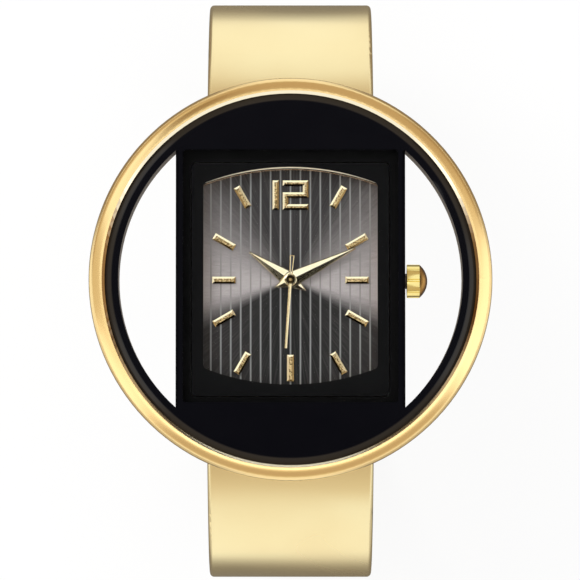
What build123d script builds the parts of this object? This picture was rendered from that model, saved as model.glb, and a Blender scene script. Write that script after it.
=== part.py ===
from build123d import *

import math
import os

# Axes: +X to the crown, +Y to twelve, +Z out of the dial. The watch stands on the two ends of
# its open cuff, and the hands turn about the Z axis.

# Allowances shared by all pieces
cut_overrun = 0.5
press_gap = 0.01
running_gap = 0.04
slip_gap = 0.08

# Cuff: two arms that follow an oval of four arcs, open at the back of the wrist
cuff_half_length = 31.15
cuff_half_height = 24.5
cuff_side_arc_r = 18.0
cuff_thickness = 1.4
cuff_width = 17.45
cuff_gap_half = 11.0
cuff_edge_r = 0.45
cuff_corner_r = 3.0

# Hinges between the ring and the arms
hinge_inset = 3.4
knuckle_r = 1.4
knuckle_length = 3.0
knuckle_headroom = 0.25
knuckle_side_gap = 0.12
lug_length = 2.0
lug_side_inset = 0.225
lug_neck_half = 0.9
arm_notch_gap = 0.2
hinge_pin_r = 0.6
hinge_pin_chamfer = 0.1
heel_length = 1.9
heel_bar_start = 0.5
heel_stop_gap = 0.02
pad_reach = 2.1

# Hinge springs: wire wound round the pin, one leg under the ring and one under the heel bar
spring_wire_r = 0.2
spring_coil_r = 0.92
spring_pitch = 0.9
spring_side_gap = 0.65
spring_ring_leg = 2.6
spring_arm_leg = 1.7
spring_leg_gap = 0.03

# Outer ring, 42 across
ring_width = 1.7
ring_height = 4.4
ring_crest_width = 0.3
ring_crown_height = 1.15
ring_crest_chamfer = 0.3
ring_foot_chamfer = 0.35
ring_ledge_width = 1.4
ring_ledge_thickness = 1.0

# Black frame: a plate inside the ring, crossed by the column that holds the works
plate_recess = 0.25
plate_rim_width = 0.73
plate_rim_drop = 0.35
column_corner_gap = 0.2124
column_side_wall = 1.6
column_end_wall = 2.67
column_corner_r = 1.2
column_bevel_width = 0.3
column_bevel_drop = 0.5
cavity_corner_r = 0.5

# Window glass, its gasket and the black mask under it
crystal_side_margin = 0.78
crystal_end_margin = 1.8
crystal_y = 0.3
crystal_thickness = 1.2
crystal_corner_r = 0.35
crystal_edge_chamfer = 0.08
mask_thickness = 0.3
mask_side_margin = 1.26
mask_end_margin = 0.89
window_arch = 1.72
window_corner_r = 0.5
window_y = 0.38

# Gold flange round the dial
flange_height = 1.9
flange_side_reveal = 0.23
flange_end_reveal = 0.11
flange_arch = 1.7
flange_step_width = 0.3
flange_step_drop = 0.35

# Dial and what is applied to it
dial_thickness = 0.4
dial_hole_r = 0.68
dial_foot_r = 0.35
dial_foot_length = 0.9
dial_foot_side_inset = 1.05
dial_foot_end_inset = 1.0
low_foot_side_inset = 0.75
low_foot_end_inset = 0.65
marker_width = 0.72
marker_length = 2.45
marker_height = 0.22
marker_bevel_width = 0.2
marker_bevel_drop = 0.022
side_marker_inset = 2.12
wide_marker_inset = 1.07
high_marker_inset = 1.31
six_marker_inset = 1.77
six_marker_length = 2.76
numeral_inset = 1.28
numeral_length = 3.07
numeral_height = 0.25
numeral_stroke = 0.58
one_x = -1.55
one_width = 0.65
two_x = 0.53
two_width = 2.68

# Hands
hand_gap = 0.4
hand_thickness = 0.16
hand_edge = 0.06
hand_pitch = 0.45
hour_hand_length = 4.96
hour_hand_tail = 2.0
hour_hand_half_width = 0.88
minute_hand_length = 7.14
minute_hand_tail = 1.87
minute_hand_half_width = 0.86
seconds_hand_length = 7.18
seconds_hand_root = 0.36
seconds_hand_tip = 0.22
seconds_hand_thickness = 0.1
seconds_tail_length = 2.55
seconds_tail_width = 0.48
seconds_hub_r = 0.5
seconds_cap_r = 0.28
seconds_cap_height = 0.16
hour_hand_angle = 303.4
minute_hand_angle = 64.8
seconds_hand_angle = 183.9

# Movement, with every depth counted from the dial's underside
movement_width = 15.3
movement_length = 17.8
movement_height = 3.15
movement_corner_r = 1.0
motion_recess_depth = 0.95
web_depth = 1.3
main_plate_depth = 2.0
bridge_thickness = 0.35
bridge_edge_r = 0.9
pillar_r = 0.7
pillar_places = ((-5.6, 1.2), (4.6, -3.4))
bridge_screw_r = 0.3
bridge_screw_head_r = 0.5
bridge_screw_head = 0.18
bridge_screw_length = 1.0
arbor_r = 0.12
arbor_collar_r = 0.24
pivot_r = 0.07
pivot_length = 0.18
pivot_gap = 0.02
arbor_shake = 0.03
wheel_thickness = 0.15
holder_side_wall = 2.6
holder_end_wall = 3.25
holder_wall_gap = 0.05

# Gear teeth: modules are in millimetres, and the shares are of a module or of a tooth's pitch
fourth_third_module = 0.08
third_center_module = 0.0756
fifth_fourth_module = 0.1
rotor_fifth_module = 0.075
motion_module = 0.09
tooth_tip_share = 0.9
tooth_root_share = 1.15
root_width_share = 0.3
tip_width_share = 0.13
small_pinion_teeth = 6
third_teeth = 45
center_teeth = 48
fourth_teeth = 30
fifth_teeth = 36
cannon_teeth = 10
minute_wheel_teeth = 30
minute_pinion_teeth = 8
hour_teeth = 32
setting_teeth = 14

# Bearings, in degrees, from one arbor to the next
third_bearing = -50
fifth_bearing = 130
rotor_bearing = 110
minute_wheel_bearing = -40

# Heights of the wheels, as depths under the dial
center_wheel_depth = 1.4
third_pinion_depth = 1.35
third_pinion_length = 0.35
third_wheel_depth = 1.85
fourth_pinion_depth = 1.8
fourth_pinion_length = 0.3
fourth_wheel_depth = 2.2
fifth_wheel_depth = 1.65
fifth_pinion_depth = 2.15
fifth_pinion_length = 0.3
rotor_pinion_depth = 1.6
rotor_pinion_length = 0.3
hour_wheel_depth = 0.15
cannon_pinion_depth = 0.35
cannon_pinion_length = 0.4
minute_wheel_depth = 0.42
minute_pinion_depth = 0.12
setting_wheel_depth = 0.4
setting_wheel_length = 0.42
motion_post_r = 0.2
motion_boss_r = 0.4
washer_depth = 0.03
washer_thickness = 0.09
washer_outer_r = 1.2
cannon_r = 0.32
cannon_end_depth = 1.62
hour_pipe_r = 0.55
recess_gap = 0.22

# Stepping motor
rotor_magnet_r = 0.5
stator_hole_r = 0.65
stator_eye_r = 1.05
stator_thickness = 0.4
stator_low_y = 2.3
stator_high_y = 3.5
stator_left_x = -6.6
stator_right_x = 5.6
stator_leg_width = 1.2
coil_end_inset = 1.9
coil_left_x = -4.2
coil_right_x = 3.2
coil_r = 0.85
coil_flange_r = 1.0
coil_flange_thickness = 0.25
core_width = 1.0
core_thickness = 0.4
coil_pocket_gap = 0.15
core_gap = 0.03

# Battery and its clamp
battery_x = -3.4
battery_inner_y = -1.6
battery_end_wall = 0.5
battery_height = 2.6
battery_lid_inset = 0.7
battery_lid_step = 0.15
battery_depth = 0.45
battery_wall_gap = 0.08
clamp_width = 1.6
clamp_thickness = 0.12
clamp_foot = 0.35

# Electronics
board_thickness = 0.25
board_left_x = 1.6
board_right_x = 7.3
board_end_inset = 0.4
board_inner_y = -4.7
board_strip_x = 6.0
board_high_y = 5.6
chip_width = 2.0
chip_height = 0.5
chip_x = 3.9
quartz_r = 0.6
quartz_length = 4.3
quartz_edge_r = 0.15
quartz_lead_y = 0.3
quartz_x = 4.4
quartz_depth = 1.37
quartz_lead_r = 0.12
quartz_lead_length = 0.6

# Winding stem, clutch, setting lever and crown
stem_depth = 1.45
stem_r = 0.4
stem_square = 0.5
stem_pilot_r = 0.22
stem_inner_x = 2.95
stem_square_start_x = 3.6
stem_square_end_x = 5.4
stem_bore_gap = 0.05
groove_x = 6.0
groove_width = 0.5
groove_r = 0.2
clutch_start_x = 3.95
clutch_length = 1.0
clutch_r = 0.85
clutch_tooth_depth = 0.22
clutch_teeth = 10
clutch_pocket_start_x = 3.78
clutch_pocket_end_x = 5.1
clutch_pocket_half = 1.0
crown_travel = 0.9
lever_radius = 2.6
lever_thickness = 0.2
lever_depth = 0.7
lever_half_width = 0.42
lever_pin_r = 0.15
lever_pin_reach = 0.17
lever_post_r = 0.3
crown_r = 1.75
crown_neck = 0.28
crown_fluted_length = 1.3
crown_dome_length = 0.85
crown_flutes = 9
crown_flute_r = 0.16
crown_flute_start = 90
crown_bore_depth = 1.05
tube_r = 0.8
tube_reach = 0.75
tube_inset = 1.2
gasket_r = 1.1
gasket_length = 0.45
gasket_squeeze_gap = 0.02

# Case back
back_clearance = 0.15
back_thickness = 0.9
back_inset = 0.3
back_gasket_inset = 0.35
back_gasket_width = 0.6
back_gasket_depth = 0.4
back_screw_side_inset = 2.33
back_screw_end_inset = 1.05
back_screw_r = 0.4
back_screw_head_r = 0.75
back_screw_head = 0.4
back_screw_length = 2.4
back_screw_slot = 0.2

# From the movement outwards: its holder, the column round that, and the ring round both windows
movement_side_x = movement_width / 2
movement_end_y = movement_length / 2
holder_half_x = movement_side_x + holder_side_wall
holder_half_y = movement_end_y + holder_end_wall
cavity_half_x = holder_half_x + slip_gap
cavity_half_y = holder_half_y + slip_gap
column_half_width = cavity_half_x + column_side_wall
column_half_length = cavity_half_y + column_end_wall
ring_inner_r = math.hypot(column_half_width, column_half_length) + column_corner_gap
ring_ledge_r = ring_inner_r - ring_ledge_width
ring_crest_r = ring_inner_r + ring_crest_width
ring_r = ring_inner_r + ring_width
hinge_y = ring_r - hinge_inset
lug_outer_x = cuff_width / 2 - lug_side_inset
lug_inner_x = lug_outer_x - lug_length
knuckle_outer = lug_inner_x - knuckle_side_gap
knuckle_inner = knuckle_outer - knuckle_length
spring_turns = math.floor(2 * (knuckle_inner - spring_side_gap) / spring_pitch)
crown_start_x = column_half_width + crown_neck
back_screw_x = column_half_width - back_screw_side_inset
back_screw_y = column_half_length - back_screw_end_inset

# The glass, the window in its mask, and the flange that shows inside the window
crystal_width = 2 * (column_half_width - crystal_side_margin)
crystal_length = 2 * (column_half_length - crystal_end_margin)
window_half_width = cavity_half_x - mask_side_margin
window_apex_half = cavity_half_y - mask_end_margin
window_side_half = window_apex_half - window_arch
flange_half_width = window_half_width + flange_side_reveal
flange_apex_half = window_apex_half + flange_end_reveal
flange_side_half = flange_apex_half - flange_arch

# The bars and the numeral, which keep their distance from the edge of the window
side_marker_r = window_half_width - side_marker_inset
wide_marker_r = window_half_width - wide_marker_inset
high_marker_r = window_apex_half - high_marker_inset
six_marker_r = window_apex_half - window_y - six_marker_inset
numeral_high_y = window_apex_half + window_y - numeral_inset
numeral_low_y = numeral_high_y - numeral_length

# What keeps to the two ends of the movement: coil, battery, board and dial feet
coil_y = movement_end_y - coil_end_inset
battery_r = (movement_end_y + battery_inner_y - battery_end_wall) / 2
battery_y = battery_inner_y - battery_r
battery_lid_r = battery_r - battery_lid_inset
board_low_y = board_end_inset - movement_end_y
board_middle_y = (board_low_y + board_inner_y) / 2
dial_foot_places = (
    (movement_side_x - dial_foot_side_inset, movement_end_y - dial_foot_end_inset),
    (low_foot_side_inset - movement_side_x, low_foot_end_inset - movement_end_y),
)

# The cuff's outline: centres and radii of its arcs, and the height of its middle
side_reach = cuff_half_length - cuff_side_arc_r
end_reach = cuff_half_height - cuff_side_arc_r
arc_shift = (side_reach**2 - end_reach**2) / (2 * end_reach)
long_arc_r = cuff_half_height + arc_shift
end_mid_r = long_arc_r - cuff_thickness / 2
end_swing = math.asin((cuff_gap_half + cuff_thickness / 2) / end_mid_r)
cuff_middle_z = end_mid_r * math.cos(end_swing) - arc_shift + cuff_thickness / 2
top_arc_z = cuff_middle_z - arc_shift
bottom_arc_z = cuff_middle_z + arc_shift

# Heights of the case, from the hinge upwards
hinge_z = top_arc_z + math.sqrt(long_arc_r**2 - hinge_y**2) - knuckle_r
ring_bottom_z = hinge_z + knuckle_r + knuckle_headroom
ring_top_z = ring_bottom_z + ring_height
ledge_top_z = ring_bottom_z + ring_ledge_thickness
plate_top_z = ring_top_z - plate_recess
crystal_bottom_z = plate_top_z - crystal_thickness
mask_bottom_z = crystal_bottom_z - mask_thickness
dial_top_z = mask_bottom_z - flange_height
dial_bottom_z = dial_top_z - dial_thickness
back_top_z = dial_bottom_z - movement_height - back_clearance
back_bottom_z = back_top_z - back_thickness
stem_z = dial_bottom_z - stem_depth

# Heights of the hands
hour_hand_z = dial_top_z + hand_gap
minute_hand_z = hour_hand_z + hand_pitch
seconds_hand_z = minute_hand_z + hand_pitch

# Places of the arbors
fourth_third_distance = fourth_third_module * (small_pinion_teeth + third_teeth) / 2
fifth_fourth_distance = fifth_fourth_module * (small_pinion_teeth + fourth_teeth) / 2
rotor_fifth_distance = rotor_fifth_module * (small_pinion_teeth + fifth_teeth) / 2
minute_distance = motion_module * (cannon_teeth + minute_wheel_teeth) / 2
setting_distance = motion_module * (setting_teeth + minute_wheel_teeth) / 2


def polar(r, degrees, start=(0, 0)):
    """Point at a distance and a bearing from a start point."""
    angle = math.radians(degrees)
    return start[0] + r * math.cos(angle), start[1] + r * math.sin(angle)


third_place = polar(fourth_third_distance, third_bearing)
fifth_place = polar(fifth_fourth_distance, fifth_bearing)
rotor_place = polar(rotor_fifth_distance, rotor_bearing, fifth_place)
minute_place = polar(minute_distance, minute_wheel_bearing)
setting_bearing = math.degrees(math.asin(-minute_place[1] / setting_distance))
setting_place = polar(setting_distance, setting_bearing, minute_place)

# The setting lever swings evenly to both sides of the square position as the crown is pulled
lever_swing = 2 * math.degrees(math.asin(crown_travel / 2 / lever_radius))
lever_place = (
    groove_x + crown_travel / 2,
    groove_r + lever_pin_r + running_gap + lever_radius,
)


def at_depth(depth):
    """Height of a point that lies a depth under the dial."""
    return dial_bottom_z - depth


def disc(r, low, high, place=(0, 0)):
    """Upright cylinder between two heights."""
    return Pos(place[0], place[1], (low + high) / 2) * Cylinder(r, high - low)


def block(start, end, low, high):
    """Box between two corners and two heights."""
    middle = Pos((start[0] + end[0]) / 2, (start[1] + end[1]) / 2, (low + high) / 2)
    return middle * Box(end[0] - start[0], end[1] - start[1], high - low)


def plate(half_x, half_y, corner_r, low, high, y=0):
    """Upright plate with rounded corners."""
    outline = RectangleRounded(2 * half_x, 2 * half_y, corner_r)
    return extrude(Pos(0, y, low) * outline, high - low)


def rod(r, start, end, y=0, z=0):
    """Cylinder along X."""
    return Pos((start + end) / 2, y, z) * Rot(0, 90, 0) * Cylinder(r, end - start)


def across(outline, start, end):
    """Outline in the YZ plane, extruded from one X to another."""
    return extrude(Plane.YZ.offset(start) * outline, end - start)


def named(shape, name):
    """Write one piece to its file."""
    shape.label = name
    export_step(shape, f"parts/{name}.step")


def gear(teeth, module, depth, length, phase=0, place=(0, 0)):
    """Wheel or pinion with straight-sided teeth, its top face at a depth under the dial."""
    tip_r = module * (teeth / 2 + tooth_tip_share)
    root_r = module * (teeth / 2 - tooth_root_share)
    pitch = 360 / teeth
    corners = (
        (root_r, -root_width_share),
        (tip_r, -tip_width_share),
        (tip_r, tip_width_share),
        (root_r, root_width_share),
    )
    points = [
        polar(r, phase + pitch * (i + share), place)
        for i in range(teeth)
        for r, share in corners
    ]
    outline = make_face(Polyline(*points, close=True))
    return extrude(Pos(0, 0, at_depth(depth + length)) * outline, length)


def meshed_phase(teeth_a, phase_a, bearing, teeth_b):
    """Angle of one tooth of wheel B in mesh with wheel A, where B lies at a bearing from A."""
    lead = (bearing - phase_a) % (360 / teeth_a)
    return bearing + 180 + 180 / teeth_b + lead * teeth_a / teeth_b


def arbor(place):
    """Arbor that runs from the plate's web to the bridge, with a pivot at each end."""
    top = at_depth(web_depth + arbor_shake)
    bottom = at_depth(movement_height - bridge_thickness - arbor_shake)
    return disc(arbor_r, bottom, top, place) + disc(
        pivot_r, bottom - pivot_length, top + pivot_length, place
    )


def arm_profile():
    """Side view of one arm's band, from the hinge to its rounded free end."""
    start = math.degrees(math.acos(hinge_y / long_arc_r))
    turn = math.degrees(math.atan2(arc_shift, side_reach))
    end = math.degrees(end_swing) - 90
    inner_r = long_arc_r - cuff_thickness
    inner_side_r = cuff_side_arc_r - cuff_thickness
    top = (0, top_arc_z)
    side = (side_reach, cuff_middle_z)
    bottom = (0, bottom_arc_z)
    cap = polar(end_mid_r, end, bottom)
    outer_start = polar(long_arc_r, start, top)
    inner_start = polar(inner_r, start, top)
    edges = [
        CenterArc(top, long_arc_r, start, turn - start),
        CenterArc(side, cuff_side_arc_r, turn, -2 * turn),
        CenterArc(bottom, long_arc_r, -turn, end + turn),
        CenterArc(cap, cuff_thickness / 2, end, -180),
        CenterArc(bottom, inner_r, end, -turn - end),
        CenterArc(side, inner_side_r, -turn, 2 * turn),
        CenterArc(top, inner_r, turn, start - turn),
        Line(inner_start, outer_start),
    ]
    return make_face(Curve() + edges)


def hinge_disc(r):
    """Circle about the hinge axis, in the side view."""
    return Pos(hinge_y, hinge_z) * Circle(r)


def side_box(low_y, high_y, low_z, high_z):
    """Rectangle in the side view."""
    middle = Pos((low_y + high_y) / 2, (low_z + high_z) / 2)
    return middle * Rectangle(high_y - low_y, high_z - low_z)


def make_arm():
    """Arm on the twelve o'clock side: band, two hinge knuckles and their stop heels."""
    half = cuff_width / 2
    band = across(arm_profile(), -half, half)
    rims = [
        edge
        for edge in band.edges()
        if abs(abs(edge.center().X) - half) < press_gap and edge.geom_type == GeomType.CIRCLE
    ]
    band = fillet(rims, cuff_edge_r)

    # The free end has rounded corners, seen square on to the band
    cap_y, cap_z = polar(end_mid_r, math.degrees(end_swing) - 90, (0, bottom_arc_z))
    outward = Vector(0, math.sin(end_swing), -math.cos(end_swing))
    end_plane = Plane(origin=(0, cap_y, cap_z), x_dir=(1, 0, 0), z_dir=outward)
    for side in (-1, 1):
        corner = Pos(side * half, cuff_thickness / 2) * Rectangle(
            2 * cuff_corner_r, 2 * cuff_corner_r
        )
        rounding = Pos(side * (half - cuff_corner_r), cuff_thickness / 2 - cuff_corner_r)
        corner -= rounding * Circle(cuff_corner_r)
        band -= extrude(end_plane * corner, cuff_thickness, both=True)

    # The band is cut back round the lugs and the spring, and carried on by the knuckles
    notch = hinge_disc(knuckle_r + arm_notch_gap)
    band -= across(notch, -half - cut_overrun, -knuckle_outer)
    band -= across(notch, -knuckle_inner, knuckle_inner)
    band -= across(notch, knuckle_outer, half + cut_overrun)

    # Each knuckle has a heel that stops the arm, and a bar joins the heels over the spring's leg
    heel_end = hinge_y - heel_length
    heel_top = ring_bottom_z - heel_stop_gap
    heel = side_box(heel_end, hinge_y, hinge_z, heel_top)
    for start, end in ((-knuckle_outer, -knuckle_inner), (knuckle_inner, knuckle_outer)):
        band += across(hinge_disc(knuckle_r) + heel, start, end)
    bar_low = hinge_z + spring_coil_r + spring_wire_r + spring_leg_gap
    bar = side_box(heel_end, hinge_y - heel_bar_start, bar_low, heel_top)
    band += across(bar, -knuckle_inner, knuckle_inner)
    bore = hinge_disc(hinge_pin_r + running_gap)
    return band - across(bore, -half, half)


def make_hinge_pin():
    """Pin that runs through both lugs and both knuckles."""
    pin = rod(hinge_pin_r, -lug_outer_x, lug_outer_x, hinge_y, hinge_z)
    return chamfer(pin.edges().filter_by(GeomType.CIRCLE), hinge_pin_chamfer)


def make_hinge_spring():
    """Torsion spring round the pin: one leg bears on the ring, the other on the arm's heel bar."""
    # The coil starts where its tangent brings the outer leg's tip up to the ring
    tip_rise = ring_bottom_z - spring_leg_gap - spring_wire_r - hinge_z
    slope = math.atan2(spring_ring_leg, spring_coil_r) - math.acos(
        tip_rise / math.hypot(spring_ring_leg, spring_coil_r)
    )
    length = spring_pitch * (spring_turns - slope / (2 * math.pi))
    place = Plane(
        origin=(-length / 2, hinge_y, hinge_z),
        x_dir=(0, -math.sin(slope), math.cos(slope)),
        z_dir=(1, 0, 0),
    )
    path = place * Helix(spring_pitch, length, spring_coil_r)
    section = Plane(origin=path @ 0, z_dir=path % 0) * Circle(spring_wire_r)
    end_section = Plane(origin=path @ 1, z_dir=path % 1) * Circle(spring_wire_r)
    spring = sweep(section, path, is_frenet=True)
    return spring + extrude(section, -spring_ring_leg) + extrude(end_section, spring_arm_leg)


def make_outer_ring():
    """Gold ring: a convex rim, an inner ledge, and two hinge pads with their lugs."""
    crown_z = ring_top_z - ring_crown_height
    crest_z = ring_top_z - ring_crest_chamfer
    rim = EllipticalCenterArc(
        (ring_crest_r, crown_z),
        ring_r - ring_crest_r,
        ring_crown_height,
        start_angle=0,
        arc_size=90,
    )
    outline = Polyline(
        (ring_crest_r, ring_top_z),
        (ring_inner_r, crest_z),
        (ring_inner_r, ledge_top_z),
        (ring_ledge_r, ledge_top_z),
        (ring_ledge_r, ring_bottom_z),
        (ring_r - ring_foot_chamfer, ring_bottom_z),
        (ring_r, ring_bottom_z + ring_foot_chamfer),
        (ring_r, crown_z),
    )
    ring = revolve(Plane.XZ * make_face(Curve() + [rim, outline]), Axis.Z)

    pad = block(
        (-lug_outer_x, hinge_y - pad_reach),
        (lug_outer_x, ring_inner_r),
        ring_bottom_z,
        ledge_top_z,
    )
    pad &= disc(ring_ledge_r + press_gap, ring_bottom_z, ledge_top_z)
    neck = side_box(
        hinge_y - knuckle_r, hinge_y + lug_neck_half, hinge_z, ring_bottom_z + press_gap
    )
    lug = hinge_disc(knuckle_r) + neck - hinge_disc(hinge_pin_r + press_gap)
    hinge = pad
    for start, end in ((-lug_outer_x, -lug_inner_x), (lug_inner_x, lug_outer_x)):
        hinge += across(lug, start, end)
    return ring + hinge + hinge.rotate(Axis.Z, 180)


def window_outline(half_width, side_half, apex_half, y=0):
    """Barrel-shaped outline: straight sides, with arched top and bottom."""
    top = ThreePointArc((-half_width, side_half), (0, apex_half), (half_width, side_half))
    bottom = ThreePointArc((half_width, -side_half), (0, -apex_half), (-half_width, -side_half))
    right = Line((half_width, side_half), (half_width, -side_half))
    left = Line((-half_width, -side_half), (-half_width, side_half))
    outline = make_face(Curve() + [top, right, bottom, left])
    return Pos(0, y) * fillet(outline.vertices(), window_corner_r)


def column_body(inset, low, high):
    """Upright body with the column's outline: a rounded rectangle inside the ring's ledge."""
    body = plate(
        column_half_width - inset,
        column_half_length - inset,
        column_corner_r,
        low,
        high,
    )
    return body & disc(ring_ledge_r - slip_gap - inset, low, high)


def make_case_frame():
    """Black frame: a disc with two D-shaped windows and the column that holds the works."""
    plate_r = ring_inner_r - press_gap
    profile = Polyline(
        (0, ledge_top_z),
        (plate_r, ledge_top_z),
        (plate_r, plate_top_z - plate_rim_drop),
        (plate_r - plate_rim_width, plate_top_z),
        (0, plate_top_z),
        close=True,
    )
    frame = revolve(Plane.XZ * make_face(profile), Axis.Z)
    window = disc(ring_ledge_r, ledge_top_z - cut_overrun, plate_top_z + cut_overrun)
    window_end = math.sqrt(ring_ledge_r**2 - column_half_width**2)
    for side in (-1, 1):
        outside = block(
            (min(side * column_half_width, side * ring_r), -ring_r),
            (max(side * column_half_width, side * ring_r), ring_r),
            ledge_top_z - cut_overrun,
            plate_top_z + cut_overrun,
        )
        frame -= window & outside
    frame += column_body(0, back_top_z, ledge_top_z)

    # Bevel along both straight edges of the column
    outer_x = column_half_width + press_gap
    for side in (-1, 1):
        wedge = Polyline(
            (side * (column_half_width - column_bevel_width), plate_top_z),
            (side * outer_x, plate_top_z - column_bevel_drop),
            (side * outer_x, plate_top_z + press_gap),
            close=True,
        )
        bevel = extrude(Plane.XZ.offset(-window_end) * make_face(wedge), 2 * window_end)
        frame -= bevel

    # Seat of the glass, the cavity, and the groove of the back's gasket
    frame -= plate(
        crystal_width / 2 + running_gap,
        crystal_length / 2 + running_gap,
        crystal_corner_r,
        mask_bottom_z,
        plate_top_z + cut_overrun,
        crystal_y,
    )
    frame -= plate(
        cavity_half_x, cavity_half_y, cavity_corner_r, back_top_z - cut_overrun, plate_top_z
    )
    frame -= back_gasket_solid(press_gap)

    # Crown tube and back screws
    frame -= rod(tube_r + press_gap, 0, column_half_width + cut_overrun, 0, stem_z)
    for place in screw_places():
        frame -= disc(
            back_screw_r + press_gap,
            back_top_z - cut_overrun,
            back_bottom_z + back_screw_length + running_gap,
            place,
        )
    return frame


def make_crystal():
    """Flat window glass with a fine polished edge."""
    glass = plate(
        crystal_width / 2,
        crystal_length / 2,
        crystal_corner_r,
        crystal_bottom_z,
        plate_top_z,
        crystal_y,
    )
    return chamfer(glass.faces().sort_by(Axis.Z)[-1].edges(), crystal_edge_chamfer)


def make_crystal_gasket():
    """Flat gasket between the glass and its seat."""
    outer = plate(
        crystal_width / 2,
        crystal_length / 2,
        crystal_corner_r,
        mask_bottom_z,
        crystal_bottom_z,
        crystal_y,
    )
    return outer - plate(
        cavity_half_x, cavity_half_y, cavity_corner_r, mask_bottom_z, crystal_bottom_z
    )


def make_window_mask():
    """Black mask under the glass, with the barrel-shaped window a little above its middle."""
    mask = plate(
        cavity_half_x - slip_gap,
        cavity_half_y - slip_gap,
        cavity_corner_r,
        mask_bottom_z,
        crystal_bottom_z,
    )
    outline = window_outline(window_half_width, window_side_half, window_apex_half, window_y)
    return mask - extrude(Pos(0, 0, mask_bottom_z) * outline, mask_thickness)


def make_dial_flange():
    """Gold flange that holds the dial down, with a stepped upper edge."""
    flange = plate(
        cavity_half_x - slip_gap,
        cavity_half_y - slip_gap,
        cavity_corner_r,
        dial_top_z,
        mask_bottom_z,
    )
    inner = window_outline(flange_half_width, flange_side_half, flange_apex_half)
    step = window_outline(
        flange_half_width + flange_step_width,
        flange_side_half + flange_step_width,
        flange_apex_half + flange_step_width,
    )
    flange -= extrude(Pos(0, 0, dial_top_z) * inner, flange_height)
    step_z = mask_bottom_z - flange_step_drop
    return flange - extrude(Pos(0, 0, step_z) * step, flange_step_drop)


def make_dial():
    """Dial with its centre hole and two feet."""
    dial = plate(
        cavity_half_x - slip_gap,
        cavity_half_y - slip_gap,
        cavity_corner_r,
        dial_bottom_z,
        dial_top_z,
    )
    for place in dial_foot_places:
        dial += disc(dial_foot_r, at_depth(dial_foot_length), dial_bottom_z, place)
    return dial - disc(dial_hole_r, dial_bottom_z, dial_top_z)


def bevelled(applied):
    """Applied bar or figure, with a flat bevel all round its top."""
    top = applied.faces().sort_by(Axis.Z)[-1]
    return chamfer(top.edges(), marker_bevel_width, marker_bevel_drop, reference=top)


def marker(place_r, length, clock_angle):
    """Applied bar that points at the dial's centre, at an angle clockwise from twelve."""
    bar = Pos(0, place_r, dial_top_z + marker_height / 2) * Box(
        marker_width, length, marker_height
    )
    return Rot(0, 0, -clock_angle) * bevelled(bar)


def make_hour_markers():
    """Eleven bars, one for each hour but twelve."""
    radii = {3: side_marker_r, 9: side_marker_r, 6: six_marker_r}
    radii.update({hour: wide_marker_r for hour in (2, 4, 8, 10)})
    radii.update({hour: high_marker_r for hour in (1, 5, 7, 11)})
    bars = []
    for hour, r in sorted(radii.items()):
        length = six_marker_length if hour == 6 else marker_length
        bars.append(marker(r, length, 30 * hour))
    return Compound(bars)


def make_numeral():
    """Squared numeral twelve, as two applied figures."""
    low_z = dial_top_z
    middle_y = (numeral_low_y + numeral_high_y) / 2
    one = block(
        (one_x - one_width / 2, numeral_low_y),
        (one_x + one_width / 2, numeral_high_y),
        low_z,
        low_z + numeral_height,
    )
    left = two_x - two_width / 2
    right = two_x + two_width / 2
    half_stroke = numeral_stroke / 2
    strokes = (
        ((left, numeral_high_y - numeral_stroke), (right, numeral_high_y)),
        ((right - numeral_stroke, middle_y - half_stroke), (right, numeral_high_y)),
        ((left, middle_y - half_stroke), (right, middle_y + half_stroke)),
        ((left, numeral_low_y), (left + numeral_stroke, middle_y + half_stroke)),
        ((left, numeral_low_y), (right, numeral_low_y + numeral_stroke)),
    )
    two = Part()
    for start, end in strokes:
        two += block(start, end, low_z, low_z + numeral_height)
    return Compound([bevelled(one).solid(), bevelled(two).solid()])


def faceted_hand(length, tail, half_width, low, hole_r, clock_angle):
    """Kite-shaped hand whose two halves slope down from a ridge."""
    top = low + hand_thickness
    edge = low + hand_edge
    points = [
        (0, length, low),
        (0, length, top),
        (0, -tail, low),
        (0, -tail, top),
        (-half_width, 0, low),
        (-half_width, 0, edge),
        (half_width, 0, low),
        (half_width, 0, edge),
    ]
    hand = ConvexPolyhedron(points, align=None)
    hand -= disc(hole_r, low - cut_overrun, top + cut_overrun)
    return Rot(0, 0, -clock_angle) * hand


def make_seconds_hand():
    """Thin needle with a bar-shaped tail, a hub and a cap."""
    low = seconds_hand_z
    high = low + seconds_hand_thickness
    half_root = seconds_hand_root / 2
    half_tip = seconds_hand_tip / 2
    needle = make_face(
        Polyline(
            (-half_root, 0),
            (-half_tip, seconds_hand_length),
            (half_tip, seconds_hand_length),
            (half_root, 0),
            close=True,
        )
    )
    half_tail = seconds_tail_width / 2
    hand = extrude(Pos(0, 0, low) * needle, seconds_hand_thickness)
    hand += block((-half_tail, -seconds_tail_length), (half_tail, 0), low, high)
    hand += disc(seconds_hub_r, low, high)
    hand += disc(seconds_cap_r, low, high + seconds_cap_height)
    hand -= disc(arbor_r + press_gap, low - cut_overrun, high + seconds_cap_height + cut_overrun)
    return Rot(0, 0, -seconds_hand_angle) * hand


def make_fourth_wheel():
    """Fourth wheel, whose long arbor carries the seconds hand."""
    top = seconds_hand_z + seconds_hand_thickness + seconds_cap_height / 2
    bottom = at_depth(movement_height - bridge_thickness - arbor_shake)
    wheel = disc(arbor_r, bottom, top) + disc(pivot_r, bottom - pivot_length, bottom)
    wheel += gear(
        small_pinion_teeth, fourth_third_module, fourth_pinion_depth, fourth_pinion_length
    )
    wheel += gear(fourth_teeth, fifth_fourth_module, fourth_wheel_depth, wheel_thickness)
    return wheel + disc(
        arbor_collar_r, at_depth(fourth_wheel_depth), at_depth(fourth_pinion_depth)
    )


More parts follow.
